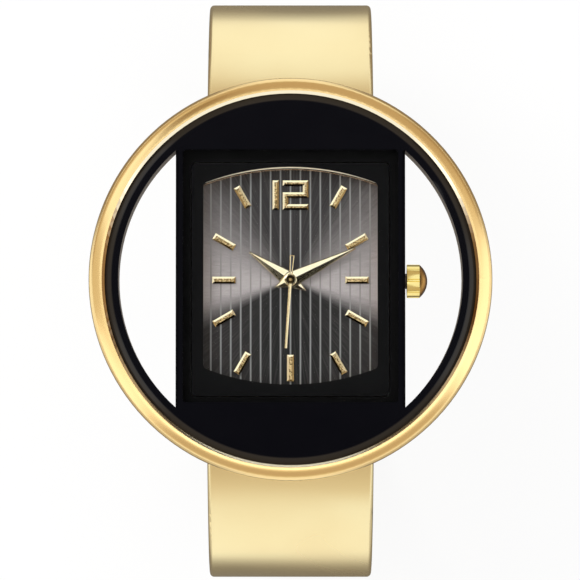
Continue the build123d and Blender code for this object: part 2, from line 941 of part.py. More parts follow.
def make_third_wheel():
    """Third wheel and its pinion."""
    phase = meshed_phase(small_pinion_teeth, 0, third_bearing, third_teeth)
    wheel = arbor(third_place)
    wheel += gear(
        small_pinion_teeth,
        third_center_module,
        third_pinion_depth,
        third_pinion_length,
        place=third_place,
    )
    return wheel + gear(
        third_teeth, fourth_third_module, third_wheel_depth, wheel_thickness, phase, third_place
    )


def make_fifth_wheel():
    """Fifth wheel and its pinion."""
    phase = meshed_phase(fourth_teeth, 0, fifth_bearing, small_pinion_teeth)
    wheel = arbor(fifth_place)
    wheel += gear(
        small_pinion_teeth,
        fifth_fourth_module,
        fifth_pinion_depth,
        fifth_pinion_length,
        phase,
        fifth_place,
    )
    return wheel + gear(
        fifth_teeth, rotor_fifth_module, fifth_wheel_depth, wheel_thickness, 0, fifth_place
    )


def make_rotor():
    """Magnet rotor with its pinion, in the eye of the stator."""
    phase = meshed_phase(fifth_teeth, 0, rotor_bearing, small_pinion_teeth)
    rotor = arbor(rotor_place)
    rotor += gear(
        small_pinion_teeth,
        rotor_fifth_module,
        rotor_pinion_depth,
        rotor_pinion_length,
        phase,
        rotor_place,
    )
    low = at_depth(main_plate_depth + stator_thickness)
    return rotor + disc(rotor_magnet_r, low, at_depth(main_plate_depth), rotor_place)


def make_center_wheel():
    """Center wheel, pushed on to the cannon pinion's lower end."""
    phase = meshed_phase(small_pinion_teeth, 0, third_bearing + 180, center_teeth)
    wheel = gear(center_teeth, third_center_module, center_wheel_depth, wheel_thickness, phase)
    low = at_depth(center_wheel_depth + wheel_thickness)
    return wheel - disc(cannon_r + press_gap, low, at_depth(center_wheel_depth))


def make_cannon_pinion():
    """Pipe that carries the minute hand, with the pinion of the motion works."""
    top = minute_hand_z + hand_thickness
    cannon = disc(cannon_r, at_depth(cannon_end_depth), top)
    cannon += gear(cannon_teeth, motion_module, cannon_pinion_depth, cannon_pinion_length)
    bore_r = arbor_r + running_gap
    return cannon - disc(bore_r, at_depth(cannon_end_depth), top)


def make_minute_wheel():
    """Minute wheel and pinion, on a post of the main plate."""
    phase = meshed_phase(cannon_teeth, 0, minute_wheel_bearing, minute_wheel_teeth)
    wheel = gear(
        minute_wheel_teeth,
        motion_module,
        minute_wheel_depth,
        wheel_thickness,
        phase,
        minute_place,
    )
    pinion_length = minute_wheel_depth - minute_pinion_depth
    wheel += gear(
        minute_pinion_teeth,
        motion_module,
        minute_pinion_depth,
        pinion_length,
        0,
        minute_place,
    )
    low = at_depth(minute_wheel_depth + wheel_thickness)
    return wheel - disc(
        motion_post_r + running_gap, low, at_depth(minute_pinion_depth), minute_place
    )


def make_hour_wheel():
    """Hour wheel, whose pipe carries the hour hand."""
    phase = meshed_phase(minute_pinion_teeth, 0, minute_wheel_bearing + 180, hour_teeth)
    top = hour_hand_z + hand_thickness
    low = at_depth(hour_wheel_depth + wheel_thickness)
    wheel = gear(hour_teeth, motion_module, hour_wheel_depth, wheel_thickness, phase)
    return wheel + disc(hour_pipe_r, low, top) - disc(cannon_r + running_gap, low, top)


def make_setting_wheel():
    """Setting wheel, between the minute wheel and the clutch."""
    minute_phase = meshed_phase(cannon_teeth, 0, minute_wheel_bearing, minute_wheel_teeth)
    phase = meshed_phase(minute_wheel_teeth, minute_phase, setting_bearing, setting_teeth)
    wheel = gear(
        setting_teeth,
        motion_module,
        setting_wheel_depth,
        setting_wheel_length,
        phase,
        setting_place,
    )
    low = at_depth(setting_wheel_depth + setting_wheel_length)
    return wheel - disc(
        motion_post_r + running_gap, low, at_depth(setting_wheel_depth), setting_place
    )


def make_dial_washer():
    """Thin washer between the hour wheel and the dial."""
    high = at_depth(washer_depth)
    low = high - washer_thickness
    return disc(washer_outer_r, low, high) - disc(hour_pipe_r + running_gap, low, high)


def wheel_recess(teeth, module, place, low, high):
    """Round recess that leaves room for a wheel."""
    r = module * (teeth / 2 + tooth_tip_share) + recess_gap
    return disc(r, low, high, place)


def lever_outline(swing=0):
    """Setting lever seen from above, turned by a swing in degrees."""
    beak = polar(lever_radius, -90 - lever_swing / 2 + swing, lever_place)
    tail = polar(lever_half_width, 90 - lever_swing / 2 + swing, lever_place)
    circles = [
        Pos(*beak) * CenterArc((0, 0), lever_half_width, 0, 360),
        Pos(*tail) * CenterArc((0, 0), 2 * lever_half_width, 0, 360),
    ]
    return make_hull(circles)


def make_main_plate():
    """Moulded main plate, with recesses for the trains, the motor, the stem and the battery."""
    base = plate(
        movement_side_x,
        movement_end_y,
        movement_corner_r,
        at_depth(main_plate_depth),
        dial_bottom_z,
    )

    # Recesses on the dial side
    floor = at_depth(motion_recess_depth)
    top = dial_bottom_z + cut_overrun
    base -= wheel_recess(hour_teeth, motion_module, (0, 0), floor, top)
    base -= wheel_recess(minute_wheel_teeth, motion_module, minute_place, floor, top)
    base -= wheel_recess(setting_teeth, motion_module, setting_place, floor, top)
    swept = lever_outline() + lever_outline(lever_swing / 2) + lever_outline(lever_swing)
    swept = offset(swept, recess_gap)
    base -= extrude(Pos(0, 0, floor) * swept, motion_recess_depth + cut_overrun)

    # Recesses on the back
    ceiling = at_depth(web_depth)
    under = at_depth(main_plate_depth) - cut_overrun
    base -= wheel_recess(center_teeth, third_center_module, (0, 0), under, ceiling)
    base -= wheel_recess(third_teeth, fourth_third_module, third_place, under, ceiling)
    base -= wheel_recess(fifth_teeth, rotor_fifth_module, fifth_place, under, ceiling)
    base -= disc(stator_hole_r, under, ceiling, rotor_place)
    base -= disc(
        battery_r + battery_wall_gap, under, at_depth(battery_depth), (battery_x, battery_y)
    )
    coil_half = coil_flange_r + coil_pocket_gap
    base -= block(
        (coil_left_x - coil_pocket_gap, coil_y - coil_half),
        (coil_right_x + coil_pocket_gap, coil_y + coil_half),
        under,
        at_depth(main_plate_depth - core_thickness / 2 - coil_half),
    )
    core_half = core_width / 2 + core_gap
    base -= block(
        (stator_left_x - core_gap, coil_y - core_half),
        (stator_right_x + core_gap, coil_y + core_half),
        under,
        at_depth(main_plate_depth - core_thickness),
    )
    quartz_half = quartz_r + slip_gap
    base -= block(
        (quartz_x - quartz_length / 2 - slip_gap, board_middle_y - quartz_half),
        (quartz_x + quartz_length / 2 + quartz_lead_length + slip_gap, board_middle_y + quartz_half),
        under,
        at_depth(quartz_depth - quartz_half),
    )

    # Stem bore, clutch pocket and the groove in which the lever's pin moves
    base -= rod(stem_r + stem_bore_gap, clutch_pocket_end_x, movement_width, 0, stem_z)
    base -= rod(stem_pilot_r + running_gap, stem_inner_x, clutch_pocket_end_x, 0, stem_z)
    base -= block(
        (clutch_pocket_start_x, -clutch_pocket_half),
        (clutch_pocket_end_x, clutch_pocket_half),
        under,
        stem_z + clutch_pocket_half,
    )
    pin_room = lever_pin_r + slip_gap
    beak = polar(lever_radius, -90 - lever_swing / 2, lever_place)
    base -= block(
        (beak[0] - pin_room, 0),
        (beak[0] + crown_travel + pin_room, beak[1] + pin_room),
        stem_z - lever_pin_reach - slip_gap,
        floor + press_gap,
    )

    # Bores through the web, then the posts and the pillars
    base -= disc(cannon_r + running_gap, ceiling - press_gap, floor + press_gap)
    for place in (third_place, fifth_place, rotor_place):
        pivot_top = ceiling - arbor_shake + pivot_length + pivot_gap
        base -= disc(pivot_r + pivot_gap, ceiling - press_gap, pivot_top, place)
    for place in dial_foot_places:
        base -= disc(dial_foot_r + running_gap, at_depth(dial_foot_length) - slip_gap, top, place)
    for place, depth in (
        (minute_place, minute_pinion_depth),
        (setting_place, setting_wheel_depth),
    ):
        base += disc(motion_post_r, floor - press_gap, at_depth(depth), place)
    for place, depth in (
        (minute_place, minute_wheel_depth + wheel_thickness),
        (setting_place, setting_wheel_depth + setting_wheel_length),
    ):
        base += disc(motion_boss_r, floor - press_gap, at_depth(depth) - arbor_shake, place)
    base += disc(lever_post_r, floor - press_gap, at_depth(lever_depth), lever_place)
    pillar_end = at_depth(movement_height - bridge_thickness)
    for place in pillar_places:
        base += disc(pillar_r, pillar_end, at_depth(main_plate_depth) + press_gap, place)
        base -= disc(
            bridge_screw_r + press_gap,
            pillar_end - cut_overrun,
            at_depth(movement_height - bridge_screw_length) + running_gap,
            place,
        )
    return base


def make_train_bridge():
    """Bridge that carries the lower pivots of the train."""
    low = at_depth(movement_height)
    high = low + bridge_thickness
    places = (*pillar_places, rotor_place)
    circles = [Pos(*place) * CenterArc((0, 0), bridge_edge_r, 0, 360) for place in places]
    bridge = extrude(Pos(0, 0, low) * make_hull(circles), bridge_thickness)
    for place in ((0, 0), third_place, fifth_place, rotor_place):
        bridge -= disc(
            pivot_r + pivot_gap, high - pivot_length - pivot_gap, high + press_gap, place
        )
    for place in pillar_places:
        bridge -= disc(bridge_screw_r + press_gap, low, high, place)
        bridge -= disc(
            bridge_screw_head_r + press_gap, low, low + bridge_screw_head, place
        )
    return bridge


def slotted_screw(place, low, head_r, head, shank_r, length, slot):
    """Screw that points up, with a slotted head at its lower end."""
    screw = disc(head_r, low, low + head, place) + disc(shank_r, low, low + length, place)
    return screw - block(
        (place[0] - head_r, place[1] - slot / 2),
        (place[0] + head_r, place[1] + slot / 2),
        low,
        low + head / 2,
    )


def make_bridge_screws():
    """Two screws of the train bridge."""
    low = at_depth(movement_height)
    return Compound(
        [
            slotted_screw(
                place,
                low,
                bridge_screw_head_r,
                bridge_screw_head,
                bridge_screw_r,
                bridge_screw_length,
                bridge_screw_head,
            )
            for place in pillar_places
        ]
    )


def make_stator():
    """Soft iron stator: a bar with the rotor's eye, and two legs up to the coil's core."""
    high = at_depth(main_plate_depth)
    low = high - stator_thickness
    leg_top = coil_y + core_width / 2
    stator = block((stator_left_x, stator_low_y), (stator_right_x, stator_high_y), low, high)
    stator += block(
        (stator_left_x, stator_low_y), (stator_left_x + stator_leg_width, leg_top), low, high
    )
    stator += block(
        (stator_right_x - stator_leg_width, stator_low_y), (stator_right_x, leg_top), low, high
    )
    stator += disc(stator_eye_r, low, high, rotor_place)
    return stator - disc(stator_hole_r, low, high, rotor_place)


def make_coil_core():
    """Flat iron core that lies on both legs of the stator."""
    low = at_depth(main_plate_depth)
    return block(
        (stator_left_x, coil_y - core_width / 2),
        (stator_right_x, coil_y + core_width / 2),
        low,
        low + core_thickness,
    )


def make_coil():
    """Copper winding with a flange at each end, round the core."""
    middle_z = at_depth(main_plate_depth) + core_thickness / 2
    coil = rod(coil_r, coil_left_x, coil_right_x, coil_y, middle_z)
    coil += rod(
        coil_flange_r, coil_left_x, coil_left_x + coil_flange_thickness, coil_y, middle_z
    )
    coil += rod(
        coil_flange_r, coil_right_x - coil_flange_thickness, coil_right_x, coil_y, middle_z
    )
    half_width = core_width / 2 + core_gap
    half_height = core_thickness / 2 + core_gap
    return coil - block(
        (coil_left_x, coil_y - half_width),
        (coil_right_x, coil_y + half_width),
        middle_z - half_height,
        middle_z + half_height,
    )


def make_battery():
    """Button cell: a can with a narrower lid."""
    place = (battery_x, battery_y)
    high = at_depth(battery_depth)
    low = high - battery_height
    can = disc(battery_r, low + battery_lid_step, high, place)
    return can + disc(battery_lid_r, low, high, place)


def make_battery_clamp():
    """Spring strip across the battery, with a foot at each end on the main plate."""
    high = at_depth(battery_depth) - battery_height
    low = high - clamp_thickness
    inner = battery_r + 2 * battery_wall_gap
    outer = inner + clamp_foot
    start = (battery_x - outer, battery_y - clamp_width / 2)
    end = (battery_x + outer, battery_y + clamp_width / 2)
    clamp = block(start, end, low, at_depth(main_plate_depth))
    return clamp - block(
        (battery_x - inner, start[1]),
        (battery_x + inner, end[1]),
        high,
        at_depth(main_plate_depth),
    )


def make_circuit_board():
    """L-shaped circuit board with its chip."""
    high = at_depth(main_plate_depth)
    low = high - board_thickness
    board = block((board_left_x, board_low_y), (board_right_x, board_inner_y), low, high)
    board += block((board_strip_x, board_low_y), (board_right_x, board_high_y), low, high)
    half = chip_width / 2
    return board + block(
        (chip_x - half, board_middle_y - half),
        (chip_x + half, board_middle_y + half),
        low - chip_height,
        low,
    )


def make_quartz_crystal():
    """Quartz oscillator can with its two leads."""
    z = at_depth(quartz_depth)
    start = quartz_x - quartz_length / 2
    end = quartz_x + quartz_length / 2
    can = rod(quartz_r, start, end, board_middle_y, z)
    can = fillet(can.edges().filter_by(GeomType.CIRCLE), quartz_edge_r)
    for side in (-1, 1):
        y = board_middle_y + side * quartz_lead_y
        can += rod(quartz_lead_r, end - quartz_r, end + quartz_lead_length, y, z)
    return can


def make_movement_holder():
    """Plastic frame between the movement and the case."""
    low, high = back_top_z, dial_bottom_z
    holder = plate(holder_half_x, holder_half_y, cavity_corner_r, low, high)
    holder -= plate(
        movement_side_x + holder_wall_gap,
        movement_end_y + holder_wall_gap,
        movement_corner_r,
        low,
        high,
    )
    return holder - rod(stem_r + 2 * stem_bore_gap, 0, holder_half_x + cut_overrun, 0, stem_z)


def make_stem():
    """Stem: pilot, square for the clutch, groove for the lever, and the crown's thread."""
    crown_seat_x = crown_start_x + crown_bore_depth
    end = crown_seat_x + crown_dome_length / 2
    stem = rod(stem_pilot_r, stem_inner_x, stem_square_end_x, 0, stem_z)
    half = stem_square / 2
    stem += block(
        (stem_square_start_x, -half), (stem_square_end_x, half), stem_z - half, stem_z + half
    )
    groove_start = groove_x - groove_width / 2
    groove_end = groove_x + groove_width / 2
    stem += rod(stem_r, stem_square_end_x, groove_start, 0, stem_z)
    stem += rod(groove_r, groove_start, groove_end, 0, stem_z)
    return stem + rod(stem_r, groove_end, end, 0, stem_z)


def make_clutch():
    """Clutch with face teeth and a square hole, turned by the stem."""
    clutch = rod(clutch_r, clutch_start_x, clutch_start_x + clutch_length, 0, stem_z)
    tooth_gap = math.pi * clutch_r / clutch_teeth
    for i in range(clutch_teeth):
        cutter = Box(2 * clutch_tooth_depth, clutch_r, tooth_gap)
        turn = Rot(360 * i / clutch_teeth, 0, 0)
        clutch -= Pos(clutch_start_x, 0, stem_z) * turn * Pos(0, clutch_r, 0) * cutter
    half = stem_square / 2 + running_gap
    return clutch - block(
        (clutch_start_x, -half),
        (clutch_start_x + clutch_length, half),
        stem_z - half,
        stem_z + half,
    )


def make_setting_lever():
    """Lever on its post, with a pin in the stem's groove."""
    high = at_depth(lever_depth)
    low = high - lever_thickness
    lever = extrude(Pos(0, 0, low) * lever_outline(), lever_thickness)
    beak = polar(lever_radius, -90 - lever_swing / 2, lever_place)
    lever += disc(lever_pin_r, stem_z - lever_pin_reach, high, beak)
    return lever - disc(lever_post_r + running_gap, low, high, lever_place)


def make_crown():
    """Fluted crown with a domed end, bored for the tube and the stem."""
    end = crown_start_x + crown_fluted_length
    outline = Pos(0, stem_z) * Circle(crown_r)
    for i in range(crown_flutes):
        bearing = crown_flute_start + 360 * i / crown_flutes
        place = polar(crown_r, bearing, (0, stem_z))
        outline -= Pos(*place) * Circle(crown_flute_r)
    crown = across(outline, crown_start_x, end)
    bulge_r = (crown_r**2 + crown_dome_length**2) / (2 * crown_dome_length)
    centre = (end + crown_dome_length - bulge_r, 0)
    half_angle = math.degrees(math.asin(crown_r / bulge_r))
    profile = Curve() + [
        CenterArc(centre, bulge_r, 0, half_angle),
        Polyline((end, crown_r), (end, 0), (end + crown_dome_length, 0)),
    ]
    crown += Pos(0, 0, stem_z) * revolve(make_face(profile), Axis.X)
    bore_end = crown_start_x + crown_bore_depth
    crown -= rod(gasket_r + press_gap, crown_start_x, bore_end, 0, stem_z)
    stem_end = bore_end + crown_dome_length / 2
    return crown - rod(stem_r + press_gap, bore_end, stem_end + press_gap, 0, stem_z)


def make_crown_gasket():
    """Rubber ring in the crown, that slides on the tube."""
    end = crown_start_x + crown_bore_depth
    start = end - gasket_length
    ring = rod(gasket_r, start, end, 0, stem_z)
    return ring - rod(tube_r + gasket_squeeze_gap, start, end, 0, stem_z)


def make_case_tube():
    """Crown tube, pressed into the column's wall."""
    start = column_half_width - tube_inset
    end = crown_start_x + tube_reach
    tube = rod(tube_r, start, end, 0, stem_z)
    return tube - rod(stem_r + stem_bore_gap, start, end, 0, stem_z)


def screw_places():
    """Places of the four screws of the case back."""
    return [
        (x * back_screw_x, y * back_screw_y) for x in (-1, 1) for y in (-1, 1)
    ]


def back_gasket_solid(extra):
    """Flat gasket between the case back and the column, grown by an allowance."""
    inner_x = cavity_half_x + back_gasket_inset
    inner_y = cavity_half_y + back_gasket_inset
    outer = plate(
        inner_x + back_gasket_width + extra,
        inner_y + back_gasket_width + extra,
        cavity_corner_r + back_gasket_width,
        back_top_z,
        back_top_z + back_gasket_depth,
    )
    return outer - plate(
        inner_x - extra,
        inner_y - extra,
        cavity_corner_r,
        back_top_z,
        back_top_z + back_gasket_depth,
    )


def make_case_back():
    """Case back with recessed screw seats."""
    back = column_body(back_inset, back_bottom_z, back_top_z)
    back = chamfer(back.faces().sort_by(Axis.Z)[0].edges(), back_inset)
    for place in screw_places():
        back -= disc(back_screw_r + running_gap, back_bottom_z, back_top_z, place)
        back -= disc(
            back_screw_head_r + running_gap, back_bottom_z, back_bottom_z + back_screw_head, place
        )
    return back


def make_back_screws():
    """Four slotted screws of the case back."""
    return Compound(
        [
            slotted_screw(
                place,
                back_bottom_z,
                back_screw_head_r,
                back_screw_head,
                back_screw_r,
                back_screw_length,
                back_screw_slot,
            )
            for place in screw_places()
        ]
    )


def turned(shape):
    """The same piece on the six o'clock side."""
    return shape.rotate(Axis.Z, 180)


def main():
    os.makedirs("parts", exist_ok=True)
    arm = make_arm()
    pin = make_hinge_pin()
    spring = make_hinge_spring()
    pieces = {
        "upper_arm": arm,
        "lower_arm": turned(arm),
        "upper_hinge_pin": pin,
        "lower_hinge_pin": turned(pin),
        "upper_hinge_spring": spring,
        "lower_hinge_spring": turned(spring),
        "outer_ring": make_outer_ring(),
        "case_frame": make_case_frame(),
        "crystal": make_crystal(),
        "crystal_gasket": make_crystal_gasket(),
        "window_mask": make_window_mask(),
        "dial_flange": make_dial_flange(),
        "dial": make_dial(),
        "hour_markers": make_hour_markers(),
        "numeral_12": make_numeral(),
        "hour_hand": faceted_hand(
            hour_hand_length,
            hour_hand_tail,
            hour_hand_half_width,
            hour_hand_z,
            hour_pipe_r + press_gap,
            hour_hand_angle,
        ),
        "minute_hand": faceted_hand(
            minute_hand_length,
            minute_hand_tail,
            minute_hand_half_width,
            minute_hand_z,
            cannon_r + press_gap,
            minute_hand_angle,
        ),
        "seconds_hand": make_seconds_hand(),
        "fourth_wheel": make_fourth_wheel(),
        "third_wheel": make_third_wheel(),
        "fifth_wheel": make_fifth_wheel(),
        "rotor": make_rotor(),
        "center_wheel": make_center_wheel(),
        "cannon_pinion": make_cannon_pinion(),
        "minute_wheel": make_minute_wheel(),
        "hour_wheel": make_hour_wheel(),
        "setting_wheel": make_setting_wheel(),
        "dial_washer": make_dial_washer(),
        "main_plate": make_main_plate(),
        "train_bridge": make_train_bridge(),
        "bridge_screws": make_bridge_screws(),
        "stator": make_stator(),
        "coil_core": make_coil_core(),
        "coil": make_coil(),
        "battery": make_battery(),
        "battery_clamp": make_battery_clamp(),
        "circuit_board": make_circuit_board(),
        "quartz_crystal": make_quartz_crystal(),
        "movement_holder": make_movement_holder(),
        "stem": make_stem(),
        "clutch": make_clutch(),
        "setting_lever": make_setting_lever(),
        "crown": make_crown(),
        "crown_gasket": make_crown_gasket(),
        "case_tube": make_case_tube(),
        "case_back": make_case_back(),
        "back_gasket": back_gasket_solid(0),
        "back_screws": make_back_screws(),
    }
    for name, shape in pieces.items():
        named(shape, name)


main()
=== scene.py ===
import math

import bmesh
import bpy
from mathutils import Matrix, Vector


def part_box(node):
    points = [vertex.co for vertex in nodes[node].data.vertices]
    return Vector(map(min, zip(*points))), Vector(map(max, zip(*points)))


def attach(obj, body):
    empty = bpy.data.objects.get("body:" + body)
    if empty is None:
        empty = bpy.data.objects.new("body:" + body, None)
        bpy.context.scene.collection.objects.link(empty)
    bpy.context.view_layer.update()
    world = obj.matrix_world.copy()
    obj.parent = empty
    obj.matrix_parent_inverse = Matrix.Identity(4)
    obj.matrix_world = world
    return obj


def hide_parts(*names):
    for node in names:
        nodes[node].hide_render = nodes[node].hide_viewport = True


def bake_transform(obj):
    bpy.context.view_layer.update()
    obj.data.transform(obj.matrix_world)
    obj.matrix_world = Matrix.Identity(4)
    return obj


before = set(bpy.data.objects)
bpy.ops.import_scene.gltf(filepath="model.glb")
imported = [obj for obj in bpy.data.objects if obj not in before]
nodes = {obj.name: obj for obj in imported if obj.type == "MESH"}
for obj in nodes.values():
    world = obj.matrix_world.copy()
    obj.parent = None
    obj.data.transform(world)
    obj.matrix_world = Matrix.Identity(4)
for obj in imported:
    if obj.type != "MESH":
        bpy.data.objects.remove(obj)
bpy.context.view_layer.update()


# Outer ring: the round gold case, turned from brass with a convex rim and two hinge pads below.
# It is polished and gold plated, in a gold painted deeper than the arms' as painted shade. Hand
# polishing leaves slow changes of gloss and hairline marks.
# The fine chamfer inside the rim is cut glossy. Its colour is painted pale as a painted highlight,
# and dark brown to three and to nine o'clock as painted shade.
COLOR = "NodeSocketColor"
VALUE = "NodeSocketFloat"
VECTOR = "NodeSocketVector"
POLISH_DRIFT = (0.4, 0.7)
HAIRLINE_SCALE = 9000.0
HAIRLINE_DEPTH = 0.00001
CHAMFER_FACING = (-0.3, -0.6)
CHAMFER_SIDE = (0.6, 0.7)
CHAMFER_PAINTED_HIGHLIGHT = (1.0, 0.9, 0.66)
CHAMFER_PAINTED_SHADE = (0.2, 0.1, 0.03)
CHAMFER_ROUGHNESS_SHARE = 0.2


def insides(material):
    """Node tree of a material, and its one Principled shader."""
    return material.node_tree, material.node_tree.nodes["Principled BSDF"]


def new_material(name):
    """New material, with its node tree and its shader."""
    material = bpy.data.materials.new(name)
    material.use_nodes = True
    return material, *insides(material)


def feed(tree, socket, value):
    """Link a socket from another one, or set it to a number, a vector or an opaque colour."""
    if isinstance(value, bpy.types.NodeSocket):
        tree.links.new(value, socket)
    elif socket.type == "RGBA":
        socket.default_value = (*value, 1)
    else:
        socket.default_value = value


def add(tree, kind, inputs=None, **settings):
    """New node with its settings and inputs."""
    node = tree.nodes.new(kind)
    for key, value in settings.items():
        setattr(node, key, value)
    for key, value in (inputs or {}).items():
        feed(tree, node.inputs[key], value)
    return node


def work(tree, operation, *values):
    """Result of one sum on numbers."""
    return add(tree, "ShaderNodeMath", dict(enumerate(values)), operation=operation).outputs[0]


def vector_work(tree, operation, *values):
    """Result of one sum on vectors: a number from a length or a dot product, or else a vector."""
    node = add(tree, "ShaderNodeVectorMath", dict(enumerate(values)), operation=operation)
    return node.outputs["Value" if operation in ("LENGTH", "DOT_PRODUCT") else "Vector"]


def flattened(tree, vector):
    """Vector without its height."""
    return vector_work(tree, "MULTIPLY", vector, (1, 1, 0))


def axes_of(tree, vector):
    """The three numbers of a vector, by the names X, Y and Z."""
    return add(tree, "ShaderNodeSeparateXYZ", {0: vector}).outputs


def ramp(tree, value, low, high, start=0.0, end=1.0, smooth="LINEAR"):
    """Number between start and end, as a value goes from low to high."""
    limits = {
        "Value": value,
        "From Min": low,
        "From Max": high,
        "To Min": start,
        "To Max": end,
    }
    return add(tree, "ShaderNodeMapRange", limits, interpolation_type=smooth).outputs[0]


def mix(tree, factor, a, b):
    """Colour between two colours."""
    node = add(tree, "ShaderNodeMix", data_type="RGBA")
    for number, value in ((0, factor), (6, a), (7, b)):
        feed(tree, node.inputs[number], value)
    return node.outputs[2]


def own_place(tree):
    """Place of a point on its own object."""
    return add(tree, "ShaderNodeTexCoord").outputs["Object"]


def true_normal(tree):
    """Direction in which a point of the surface faces."""
    return add(tree, "ShaderNodeNewGeometry").outputs["True Normal"]


def noise(tree, place, scale, detail=2.0):
    """Soft random pattern."""
    inputs = {"Vector": place, "Scale": scale, "Detail": detail}
    return add(tree, "ShaderNodeTexNoise", inputs).outputs["Fac"]


def bump(tree, height, strength, distance):
    """Normal of a surface with a fine relief."""
    inputs = {"Height": height, "Strength": strength, "Distance": distance}
    return add(tree, "ShaderNodeBump", inputs).outputs["Normal"]


def effect(name, inputs, outputs):
    """Empty node group with named sockets, and the sockets at its two ends."""
    group = bpy.data.node_groups.new(name, "ShaderNodeTree")
    for socket, kind in inputs:
        group.interface.new_socket(socket, in_out="INPUT", socket_type=kind)
    for socket, kind in outputs:
        group.interface.new_socket(socket, in_out="OUTPUT", socket_type=kind)
    start = group.nodes.new("NodeGroupInput")
    end = group.nodes.new("NodeGroupOutput")
    return group, start.outputs, end.inputs


def wire(tree, group, shader, values):
    """Effect placed in a material, with each output linked to the shader's socket of that name."""
    node = add(tree, "ShaderNodeGroup", values, node_tree=group)
    for output in node.outputs:
        target = "Base Color" if output.name == "Color" else output.name
        tree.links.new(output, shader.inputs[target])


def fed_by(shader, name):
    """Socket that feeds an input of a shader."""
    return shader.inputs[name].links[0].from_socket


def dress(material, *names):
    """Give CAD nodes their material."""
    for name in names:
        for slot in nodes[name].material_slots:
            slot.material = material


polish, given, made = effect(
    "polish",
    [("Color", COLOR), ("Deep Color", COLOR), ("Roughness", VALUE), ("Patch", VALUE)],
    [("Color", COLOR), ("Roughness", VALUE), ("Normal", VECTOR)],
)
place = own_place(polish)
tone = ramp(polish, noise(polish, place, given["Patch"], 3.0), *POLISH_DRIFT)
feed(polish, made["Color"], mix(polish, tone, given["Color"], given["Deep Color"]))
gloss = work(polish, "MULTIPLY_ADD", tone, 0.5, 1.0)
feed(polish, made["Roughness"], work(polish, "MULTIPLY", gloss, given["Roughness"]))
hairlines = bump(polish, noise(polish, place, HAIRLINE_SCALE), 0.05, HAIRLINE_DEPTH)
feed(polish, made["Normal"], hairlines)


def polished(name, color, deep, roughness, patch):
    """Polished metal whose gloss and tone drift a little."""
    material, tree, shader = new_material(name)
    shader.inputs["Metallic"].default_value = 1.0
    values = {"Color": color, "Deep Color": deep, "Roughness": roughness, "Patch": patch}
    wire(tree, polish, shader, values)
    return material


ring_gold = polished("ring_gold", (1.0, 0.76, 0.36), (0.97, 0.71, 0.32), roughness=0.17, patch=60.0)
tree, shader = insides(ring_gold)
outward = vector_work(tree, "NORMALIZE", flattened(tree, own_place(tree)))
normal = true_normal(tree)
chamfer = ramp(tree, vector_work(tree, "DOT_PRODUCT", outward, normal), *CHAMFER_FACING)
side = work(tree, "ABSOLUTE", axes_of(tree, normal)["X"])
sideways = ramp(tree, side, *CHAMFER_SIDE, smooth="SMOOTHSTEP")
# Painted highlight and painted shade on the chamfer: pale, and dark brown at its sides.
chamfer_painted_light = mix(tree, sideways, CHAMFER_PAINTED_HIGHLIGHT, CHAMFER_PAINTED_SHADE)
rim_painted_light = mix(tree, chamfer, fed_by(shader, "Base Color"), chamfer_painted_light)
shine_share = ramp(tree, chamfer, 0.0, 1.0, 1.0, CHAMFER_ROUGHNESS_SHARE)
rim_shine = work(tree, "MULTIPLY", fed_by(shader, "Roughness"), shine_share)
feed(tree, shader.inputs["Base Color"], rim_painted_light)
feed(tree, shader.inputs["Roughness"], rim_shine)
dress(ring_gold, "outer_ring")

# Cuff arms: two strips of spring brass, bent to the wrist and plated with the ring, but painted a
# paler gold than the ring as painted light. Each one turns on a steel pin through two knuckles.
# The CAD arms are shown by copies of the same shape, over which the light runs evenly.
WELD = 0.0000001
ARM_SMOOTHING = 35
# Painted light: the arms' gold is paler than the ring's.
arm_gold = polished("arm_gold", (1.0, 0.86, 0.49), (0.98, 0.81, 0.44), roughness=0.2, patch=45.0)


def choose(piece):
    """Select one piece alone, for the tools that work on what is selected."""
    bpy.ops.object.select_all(action="DESELECT")
    piece.select_set(True)
    bpy.context.view_layer.objects.active = piece


def welded_copy(node, name, material, smoothing, keep_normals=True):
    """Copy of a CAD node with its corners welded, shaded smoothly over its softer edges."""
    copy = bpy.data.objects.new(name, nodes[node].data.copy())
    bpy.context.scene.collection.objects.link(copy)
    choose(copy)
    if not keep_normals:
        bpy.ops.mesh.customdata_custom_splitnormals_clear()
    bpy.ops.object.mode_set(mode="EDIT")
    bpy.ops.mesh.select_all(action="SELECT")
    bpy.ops.mesh.remove_doubles(threshold=WELD)
    bpy.ops.object.mode_set(mode="OBJECT")
    bpy.ops.object.shade_smooth_by_angle(angle=math.radians(smoothing))
    copy.data.materials.clear()
    copy.data.materials.append(material)
    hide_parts(node)
    return copy


for arm in ("upper_arm", "lower_arm"):
    strip = welded_copy(arm, arm + "_strip", arm_gold, ARM_SMOOTHING, keep_normals=False)
    even = strip.modifiers.new("even", "WEIGHTED_NORMAL")
    even.keep_sharp = True
    bpy.ops.object.modifier_apply(modifier=even.name)
    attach(strip, arm)

pin_steel = polished("pin_steel", (0.62, 0.61, 0.6), (0.5, 0.49, 0.48), roughness=0.22, patch=400.0)
dress(pin_steel, "upper_hinge_pin", "lower_hinge_pin")

# Hinge springs: hard steel wire wound round each pin, to keep the arms shut. One leg bears on the
# ring and the other on the arm, so the coil between them winds up as the arm opens.
WIRE_SMOOTHING = 40
spring_wire = polished(
    "spring_wire", (0.45, 0.45, 0.47), (0.3, 0.3, 0.32), roughness=0.3, patch=900.0
)


def winding_spring(node, name):
    """Welded copy of a spring, with its place baked into its mesh."""
    spring = welded_copy(node, name, spring_wire, WIRE_SMOOTHING)
    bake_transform(spring)


winding_spring("upper_hinge_spring", "upper_spring_winding")
winding_spring("lower_hinge_spring", "lower_spring_winding")
